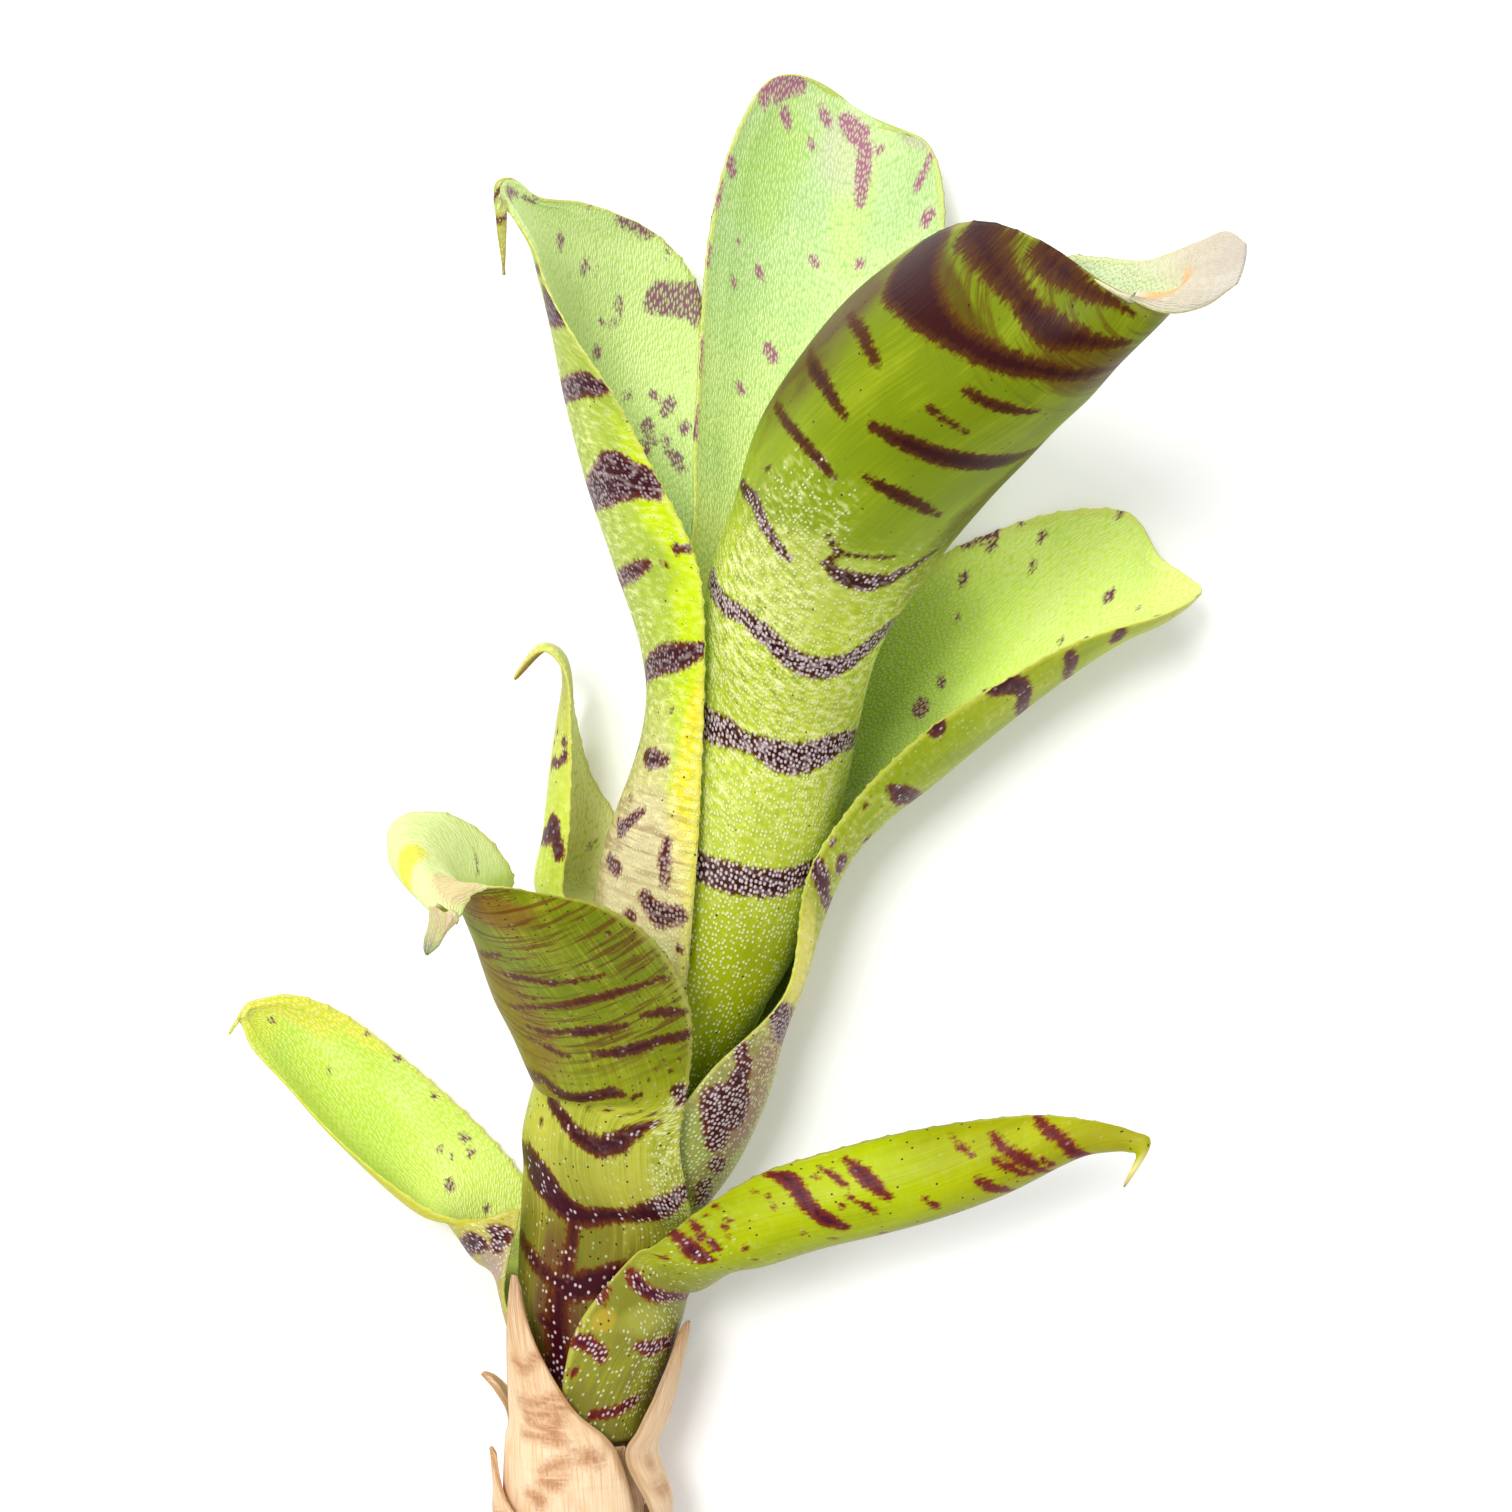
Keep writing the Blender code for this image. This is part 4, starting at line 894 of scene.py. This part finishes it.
# Dry bracts
# Six dead, papery scale leaves round the foot, straw coloured, with long fibres and brown cross bands.
# They are 0.6 mm thick and frayed thin at their edges.
def bract_skin(name, dark):
    """Dead straw-coloured leaf: long fibres, brown bands, darker towards its frayed edges."""
    straw_ramp = (0, 92, 66, 42), (50, 92, 64, 38), (85, 70, 44, 22), (100, 40, 20, 8)
    dull_inside, pale_fibre, brown_fibre, thread = (78, 56, 36), (98, 80, 58), (66, 36, 16), (66, 42, 22)
    brown_cloud, brown_edge, faint_band, dark_band = (66, 36, 14), (46, 25, 10), (60, 30, 15), (40, 12, 2)
    skin, shader, base = blank_skin(name)
    u, v, size, inside, marking = sheet_wires(base)
    clouds = size.scaled(0.3, 0.12).noise(3.0)
    fibres = size.scaled(4.5, 0.14).noise(3.0, 0.65)
    threads = size.scaled(9.0, 0.25).noise(2.0, 0.6)
    grains = size.scaled(3.0, 2.2).noise(3.0, 0.6)
    waves = size.scaled(0.22, 1.5).noise(3.0, 0.6)
    ground = (inside * 0.6).over(v.ramp(*straw_ramp), dull_inside)
    ground = ((fibres - 0.42) * 2.4).clamp().over(ground, pale_fibre)
    ground = ((0.45 - fibres) * 3.2).clamp().over(ground, brown_fibre)
    ground = ((threads - 0.62) * 3.0).clamp().over(ground, thread)
    ground = ((clouds - 0.55) * 2.5).clamp().over(ground, brown_cloud)
    edge = ((0.05 - u.math("MINIMUM", 1 - u)) * 30 + (clouds - 0.5) * 2).clamp()
    ground = (edge * 0.7).over(ground, brown_edge)
    middle = ((0.8 - v) * 6).clamp() * ((v - 0.12) * 6).clamp() * ((u - 0.25) * 5).clamp()
    ground = (((waves - 0.5) * 5).clamp() * (middle * 0.2 * dark)).over(ground, faint_band)
    depth = marking + (fibres - 0.5) * 1.6 + (grains - 0.5) * 1.2
    stain = (depth * 0.8 + 0.6).clamp() * ((waves - 0.16) * 3).clamp()
    (stain * dark).over(ground, dark_band).into(shader, "Base Color")
    (fibres * 0.7 + threads * 0.4).raises(shader, 0.2)
    shader.inputs["Roughness"].default_value = 0.75
    shader.inputs["Specular IOR Level"].default_value = 0.25
    shader.inputs["Subsurface Weight"].default_value = 0.15
    shader.inputs["Subsurface Radius"].default_value = (0.8, 0.5, 0.25)
    shader.inputs["Subsurface Scale"].default_value = mm
    return skin


front_marks = [
    [(30, 690, 3), (45, 680, 4), (50, 670, 4), (65, 690, 3), (80, 715, 3), (100, 735, 2)],
    [(35, 560, 3), (50, 550, 4), (65, 560, 3), (80, 585, 3), (100, 600, 3)],
    [(40, 520, 3), (55, 510, 4), (70, 530, 5), (85, 550, 4), (100, 570, 3)],
    [(42, 480, 4), (55, 470, 6), (62, 460, 10), (70, 490, 6), (78, 520, 4)],
    [(35, 420, 3), (48, 420, 3), (66, 420, 6)],
    [(50, 300, 3), (60, 330, 4), (70, 360, 4), (80, 360, 6), (86, 345, 3)], [(40, 230, 3), (47, 215, 7)],
    [(50, 270, 5), (57, 270, 7), (63, 285, 4)],
]
plain_marks = [[(20, 550, 3), (80, 570, 3)], [(10, 350, 3), (70, 370, 3)]]
right_marks = [[(20, 280, 8), (35, 280, 8)], (25, 380, 7), [(50, 600, 3), (90, 620, 3)]]
for name, node, dark, marks, sheath in (
    ("front_bract", "bract_front", 0.75, front_marks, [
        (5, 6.3, 178, 314), (9, 8, 178, 312), (15, 7.7, 182, 303, 0.4, 180), (17.5, 7.8, 186, 287),
        (20, 8.1, 192, 263), (25, 9.1, 206, 239), (29, 10.2, 215, 229), (32, 10.9, 220, 224),
    ]),
    ("right_bract", "bract_right", 0.5, right_marks, [
        (5, 6.7, 324, 405), (9, 8.9, 322, 405), (15, 7.7, 308, 402, 0.4, 180), (18, 8.2, 312, 396),
        (22.4, 9.1, 325, 382), (26, 9.6, 333, 362), (29, 9.9, 341, 348),
    ]),
    ("inner_bract", "bract_inner", 0.3, plain_marks, [
        (7, 6.2, 290, 335), (10, 6.9, 290, 332), (14, 6.5, 292, 322, 0.4, 180),
        (16.2, 6.8, 300, 310, 0.2, 180),
    ]),
    ("left_hook_bract", "bract_left_hook", 0.6, plain_marks, [
        (5, 6.3, 128, 173), (9, 8, 128, 173), (14, 7.6, 138, 176, 0.4, 180), (17.5, 7.9, 150, 180),
        (19.8, 9.2, 162, 182), (21.2, 10.9, 170, 176),
    ]),
    ("left_low_bract", "bract_left_low", 0.6, plain_marks, [
        (1.5, 6, 165, 245), (4, 7.6, 165, 245), (8, 9.1, 166, 235), (11, 9.2, 170, 210),
        (14.5, 9.6, 176, 184),
    ]),
    ("back_bract", "bract_back", 0.6, plain_marks, [
        (4, 6.2, 52, 122), (8, 8.6, 52, 122), (15, 7.8, 55, 122), (20, 8.6, 62, 118), (25, 9.9, 74, 104),
        (28.5, 10.6, 86, 94),
    ]),
):
    made = grow_sheet(
        name, sheath, (), columns=40, step=0.35, outer_marks=marks, inner_marks=marks,
        thick=0.6, teeth=0.0, thin=0.4,
    )
    dress(made, node, bract_skin(f"{name}_skin", dark))

# Stem
# The short woody stem that all the leaves grow from, cut straight across below them. It stays as the
# solid; only its bark and its cut face are coloured.
bark, bark_shader, base = blank_skin("stem_bark")
at = base.node("ShaderNodeTexCoord", 3)
rough_bark = base.node("ShaderNodeTexNoise", 0, Vector=at, Scale=900.0, Detail=5.0, Roughness=0.65)
broad_bark = base.node("ShaderNodeTexNoise", 0, Vector=at, Scale=260.0, Detail=3.0)
bark_colour = rough_bark.ramp((30, 12, 6, 3), (55, 36, 22, 11), (75, 58, 42, 26))
bark_colour = ((broad_bark - 0.55) * 3.0).clamp().over(bark_colour, (50, 38, 22))
bark_colour.into(bark_shader, "Base Color")
bark_relief = base.node("ShaderNodeBump", 0, Strength=0.8, Distance=0.4 * mm, Height=rough_bark)
bark_relief.into(bark_shader, "Normal")
bark_shader.inputs["Roughness"].default_value = 0.9
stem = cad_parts["stem"]
for place in range(len(stem.material_slots)):
    stem.material_slots[place].material = bark
